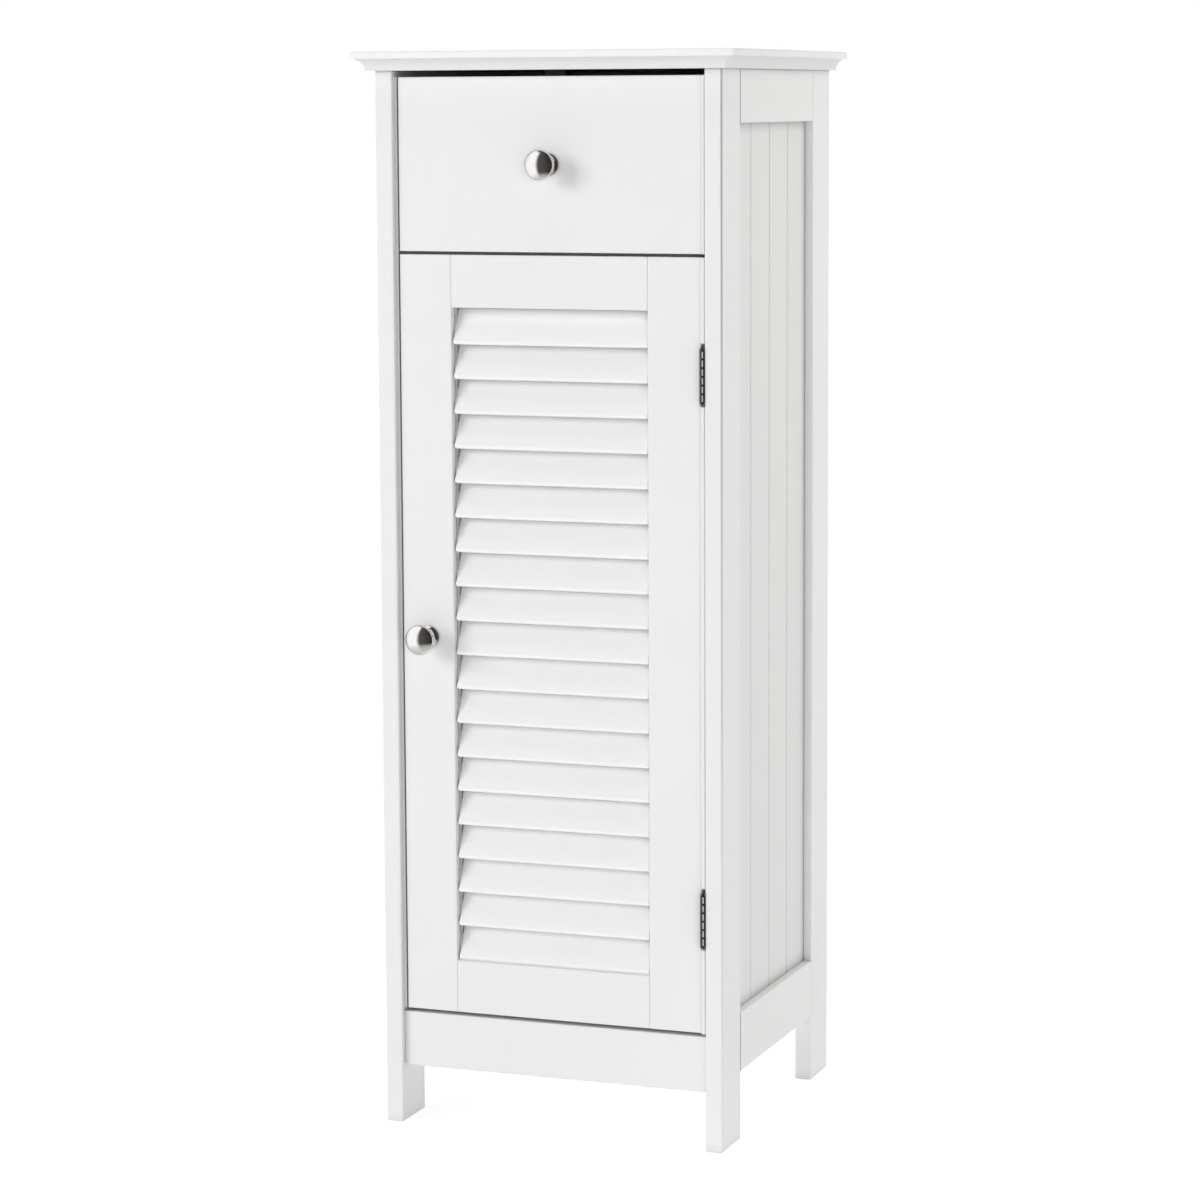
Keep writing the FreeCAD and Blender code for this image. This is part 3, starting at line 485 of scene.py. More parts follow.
def block(bm, lo, hi, ease):
    """A block between two corners, with all its edges rounded."""
    lo, hi = Vector(lo), Vector(hi)
    made = bmesh.ops.create_cube(bm, size=1.0)["verts"]
    bmesh.ops.scale(bm, vec=hi - lo, verts=made)
    bmesh.ops.translate(bm, vec=(lo + hi) / 2, verts=made)
    soften(bm, list({edge for vert in made for edge in vert.link_edges}), ease)


def pull(bm, faces, closed_behind=True):
    """Extrude faces and give what moves. Inside a closed shape, the old faces are left behind and go."""
    grown = bmesh.ops.extrude_face_region(bm, geom=faces)["geom"]
    if closed_behind:
        bmesh.ops.delete(bm, geom=[face for face in faces if face.is_valid], context="FACES")
    return only(bmesh.types.BMVert, grown), only(bmesh.types.BMFace, grown)


def turned(profile, steps):
    """A bmesh made by turning (radius, height) points, in millimetres, round Z. Poles are closed."""
    bm = bmesh.new()
    verts = [bm.verts.new((r * mm, 0.0, h * mm)) for r, h in profile]
    edges = [bm.edges.new(pair) for pair in zip(verts, verts[1:])]
    bmesh.ops.spin(bm, geom=verts + edges, cent=(0, 0, 0), axis=(0, 0, 1), dvec=(0, 0, 0),
                   angle=2 * math.pi, steps=steps, use_merge=True, use_duplicate=False)
    bmesh.ops.remove_doubles(bm, verts=bm.verts, dist=same_place)
    return bm


def arc(centre, radius, start, end, count):
    """Points on a circle from one angle in degrees to another."""
    angles = [math.radians(start + (end - start) * i / count) for i in range(count + 1)]
    return [(centre[0] + radius * math.cos(a), centre[1] + radius * math.sin(a)) for a in angles]


# %% Placing
def facing(point, direction):
    """A matrix that stands a piece, modelled along +Z, at a point along a direction."""
    turn = Vector(direction).to_track_quat("Z", "Y").to_matrix().to_4x4()
    return Matrix.Translation(Vector(point)) @ turn


def add_copy(bm, mesh, matrix):
    """Add a placed copy of a mesh to a bmesh."""
    before = set(bm.verts)
    bm.from_mesh(mesh)
    bmesh.ops.transform(bm, matrix=matrix, verts=[v for v in bm.verts if v not in before])


# %% [markdown]
# ## Turned and polished knobs
# A knob is turned from one bar: a flared foot that spreads the pull over the wood, a thin neck, and a
# low domed head with a rounded rim. We draw half of that outline with a few arcs and turn it round the
# knob's axis in 96 steps, which is smooth enough for a mirror finish. The foot keeps its screw bore.

# %% Outline of a knob, in millimetres
knob_height, head_radius, under_head = 26.0, 12.0, 17.5
neck_radius, neck_from, neck_to = 5.0, 8.5, 12.0
foot_radius, foot_edge, foot_top = 9.25, 1.2, 1.6
bore_radius, bore_depth = 2.1, 12.0
dome_half, rim = 44.0, 2.8


def neck_curve(start, radius, height, count=10):
    """The hollow between the neck and a wider ring, as an arc that leaves the neck along its side."""
    outwards, rise = radius - neck_radius, height - start
    bend = (outwards ** 2 + rise ** 2) / (2 * outwards)
    sweep = math.atan2(abs(rise), bend - outwards)
    points = []
    for i in range(count + 1):
        a = sweep * i / count
        points.append((neck_radius + bend * (1 - math.cos(a)),
                       start + math.copysign(bend * math.sin(a), rise)))
    return points


sine, cosine = math.sin(math.radians(dome_half)), math.cos(math.radians(dome_half))
dome_radius = (head_radius - rim * (1 - sine)) / sine
widest = knob_height - dome_radius * (1 - cosine) - rim * cosine
lower_rim = widest - under_head
foot_shoulder = foot_radius - foot_edge
knob_outline = [(0.0, bore_depth), (bore_radius, bore_depth), (bore_radius, 0.0), (foot_radius, 0.0)]
knob_outline += arc((foot_shoulder, foot_top - foot_edge), foot_edge, 0.0, 90.0, 6)
knob_outline += neck_curve(neck_from, foot_shoulder, foot_top)[::-1][1:]
knob_outline += neck_curve(neck_to, head_radius - lower_rim, under_head)
knob_outline += arc((head_radius - lower_rim, widest), lower_rim, -90.0, 0.0, 8)[1:]
knob_outline += arc((head_radius - rim, widest), rim, 0.0, 90.0 - dome_half, 6)[1:]
knob_outline += arc((0.0, knob_height - dome_radius), dome_radius, 90.0 - dome_half, 90.0, 20)[1:-1]
knob_outline.append((0.0, knob_height))
print("outline points:", len(knob_outline))

# %% Knobs
for node in ("drawer_knob", "door_knob"):
    lo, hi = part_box(node)
    knob = turned(knob_outline, steps=96)
    foot = ((lo.x + hi.x) / 2, hi.y, (lo.z + hi.z) / 2)
    bmesh.ops.transform(knob, matrix=facing(foot, (0, -1, 0)), verts=knob.verts)
    piece(node.replace("knob", "pull"), knob, polished, node)

# %% [markdown]
# ## The moulded top
# The edge of the top is a milled profile: a flat lip with softly rounded upper edges, and a cove that
# runs in under it down to the carcass. The back has no cove, and only its upper edge is rounded. One face
# starts as the underside, and each step of the profile extrudes it upwards and moves its sides.

# %% Top board
lo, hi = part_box("top_board")
cove, lip_edge, corner_radius = 9.5 * mm, 2.3 * mm, 0.5 * mm


def quarter_round(radius, outwards, count, back_too):
    """Steps of a quarter circle: how far each goes outwards and up, and whether the back moves too."""
    angles = [math.radians(90.0 * i / count) for i in range(count + 1)]
    return [(outwards * radius * (math.cos(before) - math.cos(after)),
             radius * (math.sin(after) - math.sin(before)), back_too)
            for before, after in zip(angles, angles[1:])]


top = bmesh.new()
corners = bmesh.ops.create_grid(top, x_segments=1, y_segments=1, size=0.5)["verts"]
bmesh.ops.scale(top, vec=(hi.x - lo.x - 2 * cove, hi.y - lo.y - cove, 1.0), verts=corners)
bmesh.ops.translate(top, vec=(0.0, (lo.y + cove + hi.y) / 2, lo.z), verts=corners)
bmesh.ops.bevel(top, geom=top.verts[:], offset=corner_radius, offset_type="OFFSET", affect="VERTICES",
                segments=3, profile=0.5, material=-1)
steps = quarter_round(cove, 1.0, 14, back_too=False)
steps.append((0.0, hi.z - lo.z - cove - lip_edge, False))
steps += quarter_round(lip_edge, -1.0, 7, back_too=True)
middle_y = (lo.y + hi.y) / 2
upper = top.faces[:]
for number, (outwards, rise, back_too) in enumerate(steps):
    ring, upper = pull(top, upper, closed_behind=number > 0)
    for vert in ring:
        vert.co.x += outwards * math.copysign(1.0, vert.co.x)
        vert.co.z += rise
        if vert.co.y < middle_y:
            vert.co.y -= outwards
        elif back_too:
            vert.co.y += outwards
piece("moulded_top", top, top_paint_shade_and_highlight, "top_board")

# %% [markdown]
# ## Louvre slats
# Each slat is a thin strip with fully rounded edges, tilted so that its lower edge stands in front.
# That round nose catches the light, and the slat above throws a thin shadow on it. We stretch a circle
# into a long rounded outline, extrude it to the slat's length, then pull the tongues that sit in the
# grooves of the stiles out of its end faces. The top slat is planed off under its rail, and its lacquer
# gets painted shade in its hollow, because the rail over it throws light on it. All slats get a lacquer
# lighter than the boards', which is painted light.

# %% How a slat is made
slat_radius, slat_run, tilt, round_steps = 2.5 * mm, 26.5 * mm, math.radians(26.0), 28
rail_tenon, groove_half, end_round = 7.5 * mm, 2.4 * mm, 1.8 * mm
left_gap, right_gap, spare_to_plane, under_rail = 0.9 * mm, 0.5 * mm, 0.9 * mm, 1.0 * mm
rail_lo, rail_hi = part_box("door_rail_top")
opening_left, opening_right = rail_lo.x + rail_tenon, rail_hi.x - rail_tenon
groove_front = (rail_lo.y + rail_hi.y) / 2 - groove_half
groove_back = (rail_lo.y + rail_hi.y) / 2 + groove_half
hair, square_on = 0.1 * micron, 0.999


def rounded_section(bm, run):
    """A long outline with round ends. It stands on one of them, at the origin, and leans back."""
    section = bmesh.ops.create_circle(bm, cap_ends=True, radius=slat_radius, segments=round_steps)["verts"]
    half_step = Matrix.Rotation(math.radians(180.0 / round_steps), 3, "Z")
    bmesh.ops.rotate(bm, verts=section, cent=(0, 0, 0), matrix=half_step)
    bmesh.ops.translate(bm, vec=(0.0, run, 0.0), verts=[v for v in section if v.co.y > 0.0])
    stand = Matrix.Rotation(math.radians(90.0), 4, "Y") @ Matrix.Rotation(math.radians(90.0), 4, "Z")
    bmesh.ops.transform(bm, matrix=stand, verts=bm.verts)
    bmesh.ops.rotate(bm, verts=bm.verts, cent=(0, 0, 0), matrix=Matrix.Rotation(-tilt, 3, "X"))


def plane_off(slat, height):
    """Cut away what lies over a height, and close the cut with a flat face."""
    cut = bmesh.ops.bisect_plane(slat, geom=everything(slat), dist=hair, plane_co=(0, 0, height),
                                 plane_no=(0, 0, 1), clear_outer=True)
    bmesh.ops.contextual_create(slat, geom=only(bmesh.types.BMEdge, cut["geom_cut"]))


def pull_tongues(slat, left, right):
    """Pull the part of each end that lies between the groove's walls into the groove."""
    for y in (groove_front, groove_back):
        bmesh.ops.bisect_plane(slat, geom=everything(slat), dist=hair, plane_co=(0, y, 0),
                               plane_no=(0, 1, 0))
    for end, reach in ((-1, left), (1, right)):
        bmesh.ops.recalc_face_normals(slat, faces=slat.faces)
        tongue = [f for f in slat.faces if f.normal.x * end > square_on
                  and groove_front < f.calc_center_median().y < groove_back]
        for vert in pull(slat, tongue)[0]:
            vert.co.x = reach


# %% Slats
slat_boxes = solids_of("louvre_slats")
for number, (lo, hi) in enumerate(slat_boxes, 1):
    planed = number == len(slat_boxes)
    slat = bmesh.new()
    rounded_section(slat, slat_run + (spare_to_plane if planed else 0.0))
    corner = Vector((opening_left + left_gap, lo.y + slat_radius, lo.z + slat_radius))
    bmesh.ops.translate(slat, vec=corner, verts=slat.verts)
    far = pull(slat, slat.faces[:], closed_behind=False)[0]
    length = opening_right - opening_left - (left_gap + right_gap)
    bmesh.ops.translate(slat, vec=(length, 0, 0), verts=far)
    if planed:
        plane_off(slat, rail_lo.z - under_rail)
    ends = [e for e in slat.edges if abs(e.verts[0].co.x - e.verts[1].co.x) < micron]
    soften(slat, ends, end_round, segments=5)
    pull_tongues(slat, lo.x, hi.x)
    piece("slat_%02d" % number, slat, top_slat_shaded_paint if planed else slat_lightened_paint, "louvre_slats")

# %% [markdown]
# ## The bead under the lowest slat
# A painted bead about 2 mm thick closes the slot between the lowest slat and its rail. It is let into
# both, and into the stiles, so that no edge hangs free.

# %% Sill bead
sill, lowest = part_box("door_rail_bottom")[1].z, slat_boxes[0][0]
bead_front, bead_back, let_in = lowest.y + 0.7 * mm, lowest.y + 2.6 * mm, 0.2 * mm
fillet = bmesh.new()
block(fillet, (opening_left - let_in, bead_front, sill - 0.3 * mm),
      (opening_right + let_in, bead_back, lowest.z + 0.8 * mm), ease=0.2 * mm)
piece("louvre_sill_bead", fillet, paint, "door_rail_bottom", stands_for=False)
print("gap under the lowest slat:", round((lowest.z - sill) / mm, 2), "mm; nose behind the rail's face:",
      round((lowest.y - rail_lo.y) / mm, 2), "mm")

# %% [markdown]
# ## Beads in the gaps
# The hinge knuckles need a gap beside the door. A thin painted bead on the post fills most of it, so
# that no dark slot shows, and it stops short of each hinge. A second stretch does the same beside the
# drawer, and a plain strip on the other post closes the gap on the knob side. They are too thin to matter
# for strength, so they are modelled here only, as strips with eased edges.

# %% Bead on the hinge side
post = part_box("front_post_right")[0]
stile_lo, stile_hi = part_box("door_stile_hinge_side")
drawer_lo, drawer_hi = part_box("drawer_front")
clear_of_hinge = 0.6 * mm
heights = [stile_lo.z]
for level in ("lower", "upper"):
    boxes = [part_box("hinge_%s_%s" % (level, part)) for part in ("pin", "post_leaf", "door_leaf")]
    heights.append(min(box[0].z for box in boxes) - clear_of_hinge)
    heights.append(max(box[1].z for box in boxes) + clear_of_hinge)
heights.append(stile_hi.z)
stretches = [(stile_hi.x, low, high) for low, high in zip(heights[::2], heights[1::2])]
stretches.append((drawer_hi.x, drawer_lo.z, drawer_hi.z))
# Each layer's gap to the door, way into the post, front, back and rounding.
layers = ((0.6 * mm, 0.3 * mm, 2.6 * mm, 4.4 * mm, 0.3 * mm),
          (0.7 * mm, -0.5 * mm, 0.8 * mm, 3.0 * mm, 0.6 * mm))
bead = bmesh.new()
for edge, low, high in stretches:
    for gap, into_post, front, back, ease in layers:
        block(bead, (edge + gap, post.y + front, low), (post.x + into_post, post.y + back, high), ease)
piece("hinge_gap_bead", bead, paint, "front_post_right", stands_for=False)
print("gap beside the door:", round((post.x - stile_hi.x) / mm, 2), "mm")

# %% Strip on the knob side
other_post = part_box("front_post_left")[1].x
strip_front, strip_back = drawer_lo.y + 1.2 * mm, drawer_lo.y + 3.2 * mm
strip = bmesh.new()
block(strip, (other_post - 0.3 * mm, strip_front, stile_lo.z),
      (other_post + 1.8 * mm, strip_back, drawer_hi.z), ease=0.3 * mm)
piece("free_side_bead", strip, paint, "front_post_left", stands_for=False)

# %% [markdown]
# ## Rolled hinge knuckles
# Each hinge leaf is stamped and its edge rolled into knuckles round the pin. The press leaves every
# knuckle with a soft rim, which parts it from the next one. So we copy the leaf's own mesh, merge it,
# clear its flat triangles and bevel the rims of the knuckles. The plates stay as they are.

# %% Soft rims on the knuckles
barrel_radius, rim_round = 2.1 * mm, 0.45 * mm
same_height, near_barrel = 0.01 * mm, 0.03 * mm
for level in ("upper", "lower"):
    lo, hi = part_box("hinge_%s_pin" % level)
    pin_x, pin_y = (lo.x + hi.x) / 2, (lo.y + hi.y) / 2
    for side in ("post", "door"):
        node = "hinge_%s_%s_leaf" % (level, side)
        leaf = bmesh.new()
        leaf.from_mesh(frame["nodes"][node].data)
        bmesh.ops.remove_doubles(leaf, verts=leaf.verts, dist=same_place)
        bmesh.ops.dissolve_limit(leaf, angle_limit=math.radians(0.5), verts=leaf.verts, edges=leaf.edges)
        rims = []
        for edge in leaf.edges:
            is_level = abs(edge.verts[0].co.z - edge.verts[1].co.z) < same_height
            radii = [math.hypot(v.co.x - pin_x, v.co.y - pin_y) for v in edge.verts]
            if is_level and all(abs(radius - barrel_radius) < near_barrel for radius in radii):
                rims.append(edge)
        soften(leaf, rims, rim_round)
        piece(node.replace("leaf", "leaf_rolled"), leaf, highlighted_barrel[level], node)

# %% [markdown]
# ## Screws
# Every screw head that can be seen has a cross recess. One disc is cut along the arms of the cross,
# the cross is pushed in and tapered, and the rim is then drawn down ring by ring into the countersunk
# cone, the shank and the tip. Each size of screw is modelled once and copied to its places.

# %% How a screw is made
cross_taper = 0.55


def screw(name, rings, arm, reach, depth):
    """A screw along +Z from (radius, height) rings. Arm is half the cross's width. In millimetres."""
    bm = bmesh.new()
    first_radius, first_height = rings[0]
    bmesh.ops.create_circle(bm, cap_ends=True, radius=first_radius * mm, segments=28)
    for axis in ((1, 0, 0), (0, 1, 0)):
        for offset in (-reach, -arm, arm, reach):
            bmesh.ops.bisect_plane(bm, geom=everything(bm), dist=0.01 * micron,
                                   plane_co=[part * offset * mm for part in axis], plane_no=axis)
    rim_edges = [edge for edge in bm.edges if edge.is_boundary]
    cross = []
    for face in bm.faces:
        x, y = (abs(part) / mm for part in face.calc_center_median()[:2])
        if (x < arm and y < reach) or (y < arm and x < reach):
            cross.append(face)
    floor_of_cross = pull(bm, cross)[0]
    bmesh.ops.translate(bm, vec=(0, 0, (depth + first_height) * mm), verts=floor_of_cross)
    bmesh.ops.scale(bm, vec=(cross_taper, cross_taper, 1.0), verts=floor_of_cross)
    flat = [v for v in bm.verts if v not in floor_of_cross]
    bmesh.ops.translate(bm, vec=(0, 0, first_height * mm), verts=flat)
    for (r0, h0), (r1, h1) in zip(rings, rings[1:]):
        grown = bmesh.ops.extrude_edge_only(bm, edges=rim_edges)["geom"]
        rim_edges, ring = only(bmesh.types.BMEdge, grown), only(bmesh.types.BMVert, grown)
        bmesh.ops.translate(bm, vec=(0, 0, (h1 - h0) * mm), verts=ring)
        bmesh.ops.scale(bm, vec=(r1 / r0, r1 / r0, 1.0), verts=ring)
    bmesh.ops.remove_doubles(bm, verts=bm.verts, dist=hair)
    return as_mesh(name, bm)


def wood_screw(length):
    """Countersunk head 5.4 mm wide on a 3 mm shank with a 3 mm tip."""
    head = [(2.5, 0.0), (2.7, 0.15), (1.5, 1.2)]
    tip = [(1.5, length - 3.0), (0.3, length - 0.2), (0.0, length)]
    return screw("wood_screw", head + tip, arm=0.42, reach=1.5, depth=1.1)


# %% Wood screws
along_x, along_y, along_z = 0, 1, 2
outwards, inwards = 1.0, -1.0


def way_of(direction, middle):
    """The way that a screw points. Screws on both sides point away from the middle or towards it."""
    if direction in (outwards, inwards):
        return Vector((direction * math.copysign(1.0, middle.x), 0, 0))
    return Vector(direction)


screw_places = {
    "hinge_post_screws": (along_x, (1, 0, 0)), "hinge_door_screws": (along_x, (-1, 0, 0)),
    "runner_screws": (along_x, outwards), "drawer_back_screws": (along_x, inwards),
    "catch_screws": (along_z, (0, 0, 1)), "drawer_stop_screw": (along_z, (0, 0, 1)),
    "strike_plate_screw": (along_y, (0, -1, 0))}
for node, (axis, direction) in screw_places.items():
    bm = bmesh.new()
    boxes = solids_of(node)
    one = wood_screw((boxes[0][1][axis] - boxes[0][0][axis]) / mm)
    for lo, hi in boxes:
        head = (lo + hi) / 2
        way = way_of(direction, head)
        head[axis] = lo[axis] if way[axis] > 0 else hi[axis]
        add_copy(bm, one, facing(head, way))
    piece(node + "_driven", bm, finish_of[slot_of[node]], node)

# %% Screws of the knobs
head_height = 2.4
pan_head = [(3.1, -head_height), (3.6, -2.2), (3.9, -1.8), (4.0, -1.3), (4.0, 0.0), (2.0, 0.0)]
for node in ("drawer_knob_screw", "door_knob_screw"):
    lo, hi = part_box(node)
    length = (hi.y - lo.y) / mm - head_height
    shank = [(2.0, length - 0.4), (1.6, length), (0.0, length)]
    one = screw("pan_screw", pan_head + shank, arm=0.55, reach=2.1, depth=1.5)
    under = ((lo.x + hi.x) / 2, hi.y - head_height * mm, (lo.z + hi.z) / 2)
    bm = bmesh.new()
    add_copy(bm, one, facing(under, (0, -1, 0)))
    piece(node + "_driven", bm, zinc, node)

# %% [markdown]
# ## Cam locks
# The boards pull together with cam locks. What shows is a die-cast disc, level with the board, with a
# rim chamfer and a deep cross for the screwdriver. Under the disc only the half that hooks the bolt is
# solid, so we add that half as a short drum on the side away from the bolt.

# %% How a cam is made
cam_radius, drum_radius, bolt_room = 6.0, 5.9, 2.8


def cam(depth, bolt_depth):
    """A cam in millimetres, face at height 0, drum along +Z and the bolt arriving from +X."""
    plate = bolt_depth - bolt_room
    face_rings = [(cam_radius - 0.3, 0.0), (cam_radius, 0.3), (cam_radius, plate), (0.0, plate)]
    bm = bmesh.new()
    bm.from_mesh(screw("cam_face", face_rings, arm=0.9, reach=3.4, depth=1.8))
    disc = set(bm.verts)
    hook = bmesh.ops.create_circle(bm, cap_ends=True, radius=drum_radius * mm, segments=32)["verts"]
    geometry = hook + [item for item in bm.faces[:] + bm.edges[:] if item.verts[0] in hook]
    bmesh.ops.bisect_plane(bm, geom=geometry, dist=0.01 * micron, plane_co=(-0.2 * mm, 0, 0),
                           plane_no=(1, 0, 0), clear_outer=True)
    hook = [v for v in bm.verts if v not in disc]
    faces = [f for f in bm.faces if disc.isdisjoint(f.verts)]
    bmesh.ops.translate(bm, vec=(0, 0, plate * mm), verts=hook)
    drum = pull(bm, faces, closed_behind=False)[0]
    bmesh.ops.translate(bm, vec=(0, 0, (depth - plate) * mm), verts=drum)
    return as_mesh("cam", bm)


# %% Cams
for node, bolts in (("cam_locks", "cam_bolts"), ("drawer_cam_locks", "drawer_cam_bolts")):
    bm = bmesh.new()
    bolt_boxes = solids_of(bolts)
    for lo, hi in solids_of(node):
        middle, size = (lo + hi) / 2, hi - lo
        axis = min(range(3), key=lambda i: size[i])
        bolt = min(bolt_boxes, key=lambda box: ((box[0] + box[1]) / 2 - middle).length)
        towards = (bolt[0] + bolt[1]) / 2 - middle
        depth, off_centre = size[axis], towards[axis]
        way = Vector((0, 0, 0))
        way[axis] = 1.0 if (axis == along_z or (axis == along_x and middle.x > 0)) else -1.0
        towards[axis] = 0.0
        towards.normalize()
        turn = Matrix((towards, way.cross(towards), way)).transposed().to_4x4()
        bolt_depth = (depth / 2 + off_centre * way[axis]) / mm
        add_copy(bm, cam(depth / mm, bolt_depth), Matrix.Translation(middle - way * depth / 2) @ turn)
    piece(node + "_cast", bm, cast, node)
    print("bolt depth:", round(bolt_depth, 2), "mm")

# %% [markdown]
# ## Shelf pins and the magnet of the catch
# A shelf pin is a steel peg with a collar that stops it at the post, and a flat ledge for the shelf.
# The catch's magnet is a ferrite bar held between two steel pole plates. The plates touch the door's
# strike plate and the bar stands back a little, so three eased blocks show it best.

# %% Shelf pins
peg_outline = [(0, 0), (3.4, 0), (3.4, 0.9), (2.45, 0.9), (2.45, 8.4), (1.9, 9.0), (0, 9.0)]
peg_mesh = as_mesh("peg", turned(peg_outline, steps=32))
bm = bmesh.new()
for lo, hi in solids_of("shelf_pins"):
    side = math.copysign(1.0, lo.x + hi.x)
    wall = math.copysign(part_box("front_post_right")[0].x, side)
    ledge_ends = sorted((lo.x if side > 0 else hi.x, wall - side * 0.8 * mm))
    middle = (lo + hi) / 2
    block(bm, (ledge_ends[0], lo.y, lo.z), (ledge_ends[1], hi.y, hi.z), ease=0.5 * mm)
    add_copy(bm, peg_mesh, facing((wall - side * 1.0 * mm, middle.y, middle.z), (side, 0, 0)))
piece("shelf_pegs", bm, zinc, "shelf_pins")

# %% Magnet
lo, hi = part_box("catch_magnet")
pole_plate, bar_inset, stands_back = 1.1 * mm, 0.2 * mm, 0.7 * mm
core = bmesh.new()
block(core, (lo.x + bar_inset, lo.y + stands_back, lo.z + pole_plate),
      (hi.x - bar_inset, hi.y, hi.z - pole_plate), ease=0.2 * mm)
piece("magnet_core", core, ferrite, "catch_magnet")
poles = bmesh.new()
block(poles, lo, (hi.x, hi.y, lo.z + pole_plate), ease=0.25 * mm)
block(poles, (lo.x, lo.y, hi.z - pole_plate), hi, ease=0.25 * mm)
piece("magnet_pole_plates", poles, zinc, "catch_magnet")

# %% [markdown]
# ## The floor and the surround
# A white studio. The floor glows a little, like a lit table, so it burns out to white under the camera
# and sends light up under the cabinet, and it still keeps a breath of shadow. Light rays and sight rays
# meet different floors: the first a matt grey-white one that bounces a plain amount of light, the second
# a nearly white one that fades into the white surround, so that no horizon shows.

# %% Floor
floor_half, pure_white = 14.0, (1, 1, 1, 1)
table_strength, seen_strength, fade_from, fade_to = 0.30, 0.87, 0.25, 0.75
floor_bm = bmesh.new()
bmesh.ops.create_grid(floor_bm, x_segments=1, y_segments=1, size=floor_half)
floor = bpy.data.objects.new("studio_floor", as_mesh("studio_floor", floor_bm))
put_in_scene(floor)
table = Finish("studio_floor")
matt = table.add("ShaderNodeBsdfDiffuse", {}, {"Color": grey(0.92)})
table_light = table.add("ShaderNodeEmission", {}, {"Color": pure_white, "Strength": table_strength})
lit = table.add("ShaderNodeAddShader", {}, {0: matt, 1: table_light})
faint = table.add("ShaderNodeBsdfDiffuse", {}, {"Color": grey(0.52)})
near_glow = table.add("ShaderNodeEmission", {}, {"Color": pure_white, "Strength": seen_strength})
near = table.add("ShaderNodeAddShader", {}, {0: faint, 1: near_glow})
away = table.add("ShaderNodeEmission", {}, {"Color": pure_white, "Strength": 1.0})
reach = table.add("ShaderNodeVectorMath", {"operation": "LENGTH"},
                  {0: table.add("ShaderNodeTexCoord", out="Object")}, out="Value")
seen = table.add("ShaderNodeMixShader", {}, {0: table.ease(reach, fade_from, fade_to), 1: near, 2: away})
table.add_output(table.add("ShaderNodeMixShader", {}, {0: table.in_sight(), 1: lit, 2: seen}))
floor.data.materials.append(table.material)
print("floor:", floor.name)

# %% Surround
surround_strength = 0.14
world = bpy.data.worlds.new("surround")
bpy.context.scene.world = world
world.use_nodes = True
surround = Finish("surround", tree=world.node_tree)
soft = surround.add("ShaderNodeBackground", {}, {"Color": (1, 1, 0.995, 1), "Strength": surround_strength})
bright = surround.add("ShaderNodeBackground", {}, {"Color": pure_white, "Strength": 1.0})
surround.add_output(surround.add("ShaderNodeMixShader", {}, {0: surround.in_sight(), 1: soft, 2: bright}),
                    kind="ShaderNodeOutputWorld")
print("surround:", world.name)

# %% [markdown]
# ## Something for the knobs to mirror
# Polished metal has no look of its own: it shows the room. In a white room a knob would vanish, so dark
# flags are stood around it. Here one dome, seen by mirror rays only, does that job. It is dark, with a
# tall window on the left, a bright strip behind and a grey floor near the cabinet. Azimuth and height on
# the dome are worked out from Object coordinates, and soft steps blend the zones.

# %% Screen that only mirrors see
skirt_radii, skirt_height = (220.0, 500.0, 1000.0, 1500.0), 20.0
outline = [(radius, skirt_height) for radius in skirt_radii] + arc((0.0, 450.0), 2500.0, -9.0, 90.0, 11)
screen_obj = bpy.data.objects.new("mirror_screen", as_mesh("mirror_screen", turned(outline, steps=72)))
put_in_scene(screen_obj)
for sight in ("camera", "diffuse", "shadow", "transmission", "volume_scatter"):
    setattr(screen_obj, "visible_" + sight, False)
print("screen faces:", len(screen_obj.data.polygons))

# %% What the screen shows
window_left, window_right, window_top = (-104.0, -92.0), (-30.0, -8.0), (2.66, 2.86)
strip_left, strip_right, strip_top = (112.0, 124.0), (-130.0, -114.0), (1.2, 1.8)
floor_level, floor_fade, shade_fade = (0.03, 0.05), (0.30, 1.05), (-8.0, 70.0)
window_light, strip_light, floor_light = 1.02, 0.90, 0.50
dark = Finish("mirror_screen")
x, y, z = map(dark.coordinate, "XYZ")
azimuth = dark.azimuth(x, y * -1.0)
window = (dark.ease(azimuth, *window_left) * (1.0 - dark.ease(azimuth, *window_right))
          * (1.0 - dark.ease(z, *window_top)))
behind = (dark.ease(azimuth, *strip_left).most(1.0 - dark.ease(azimuth, *strip_right))
          * (1.0 - dark.ease(z, *strip_top)))
distance = (x * x + y * y) ** 0.5
near_floor = (1.0 - dark.ease(z, *floor_level)) * (1.0 - dark.ease(distance, *floor_fade))
shade = 0.03 + 0.06 * (1.0 - dark.ease(azimuth, *shade_fade))
glow = (shade + window * (window_light - near_floor * 0.42) + behind * strip_light
        + near_floor * (1.0 - window.most(behind)) * floor_light)
tint = dark.blend(dark.ease(glow, 0.05, 0.30), (1.0, 0.92, 0.85, 1.0), (1.0, 1.0, 1.0, 1.0))
dark.add_output(dark.add("ShaderNodeEmission", {}, {"Color": tint, "Strength": glow}))
screen_obj.data.materials.append(dark.material)
print("nodes in the screen:", len(dark.tree.nodes))

# %% [markdown]
# ## Soft boxes
# One large box at the front left models the louvres and throws the knobs' soft shadows down to the right.
# A front fill and an overhead box keep the shadows open, and weaker lights on the right and at the back
# give the side and the back clear tones. The power is low enough for a written white to stay below white.

# %% Lamps
middle_of_cabinet = Vector((0.0, 0.0, 0.45))
plain, faintly_warm = (1.0, 1.0, 1.0), (1.0, 1.0, 0.965)


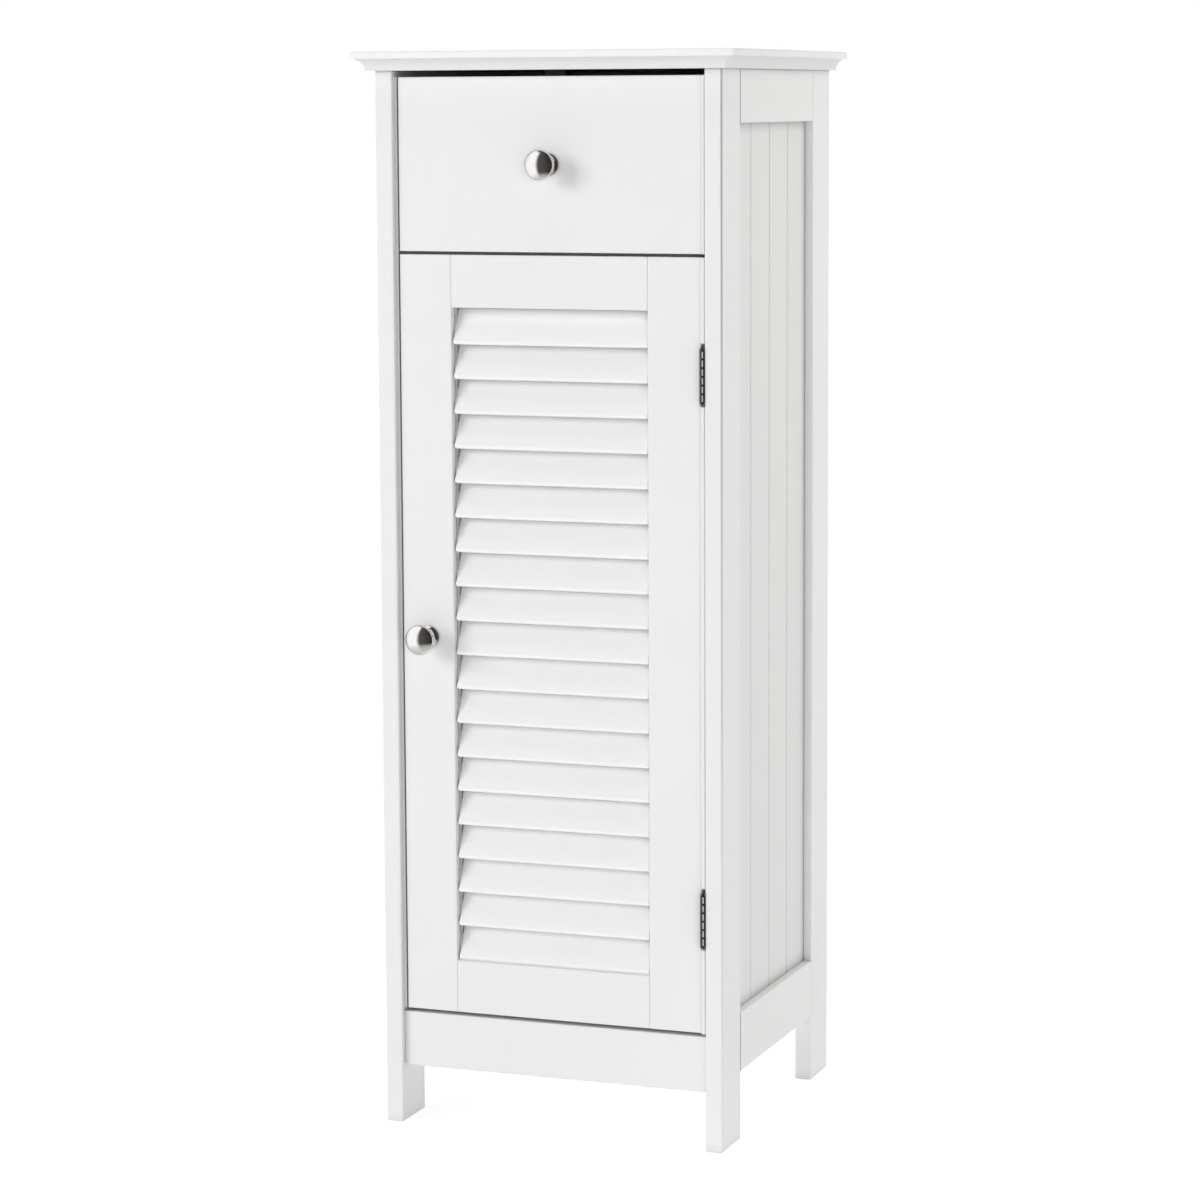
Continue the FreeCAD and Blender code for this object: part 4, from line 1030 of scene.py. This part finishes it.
def lamp(name, azimuth, elevation, distance, width, height, power, colour=plain):
    """A soft box. Azimuth 0 is in front of the cabinet and 90 on its right."""
    data = bpy.data.lights.new(name, "AREA")
    data.shape = "RECTANGLE"
    data.size = width
    data.size_y = height
    data.energy = power
    data.color = colour
    a, e = math.radians(azimuth), math.radians(elevation)
    out = Vector((math.sin(a) * math.cos(e), -math.cos(a) * math.cos(e), math.sin(e)))
    box = bpy.data.objects.new(name, data)
    box.location = middle_of_cabinet + out * distance
    box.rotation_euler = (-out).to_track_quat("-Z", "Y").to_euler()
    box.visible_camera = False
    box.visible_glossy = False
    put_in_scene(box)


# Azimuth, elevation, distance, width, height and power.
lamp("key_soft_box", -41.0, 18.0, 8.0, 3.8, 3.2, 257.0)
lamp("front_fill", 30.0, 6.0, 8.0, 5.0, 3.0, 124.0)
lamp("right_fill", 90.0, 25.0, 4.0, 3.0, 1.4, 7.5, faintly_warm)
lamp("right_back_fill", 128.0, 35.0, 2.2, 1.4, 1.4, 14.0, faintly_warm)
lamp("overhead", 0.0, 88.0, 2.6, 2.4, 2.0, 24.0)
lamp("back_fill", 180.0, 42.0, 5.0, 3.0, 2.0, 55.0)
print("lamps:", len(bpy.data.lights))

# %% [markdown]
# ## The camera
# A long lens, 3 metres away and a little above the drawer, turned to the cabinet's front and right side.
# The upright edges should stay upright, so the frame is shifted down instead of tilting the camera more.

# %% Camera
camera_place = Vector((1.058655, -2.833006, 0.830919))
yaw, pitch, roll = math.radians(20.58815), math.radians(7.09833), math.radians(-0.281)
lens, sensor_width, frame_shift, frame_size = 110.7379, 36.0, -40.0, 1200.0
ahead = Vector((-math.sin(yaw) * math.cos(pitch), math.cos(yaw) * math.cos(pitch), -math.sin(pitch)))
right = Vector((math.cos(yaw), math.sin(yaw), 0.0))
up = right.cross(ahead)
turned_right = right * math.cos(roll) + up * math.sin(roll)
turned_up = up * math.cos(roll) - right * math.sin(roll)
camera_data = bpy.data.cameras.new("camera")
camera_data.sensor_width = sensor_width
camera_data.lens = lens
camera_data.shift_y = frame_shift / frame_size
camera_data.clip_end = 60.0
camera = bpy.data.objects.new("camera", camera_data)
turn = Matrix((turned_right, turned_up, -ahead)).transposed().to_4x4()
camera.matrix_world = Matrix.Translation(camera_place) @ turn
put_in_scene(camera)
bpy.context.scene.camera = camera
bpy.context.scene.view_settings.view_transform = "Standard"
print("lens:", round(lens, 1), "mm")
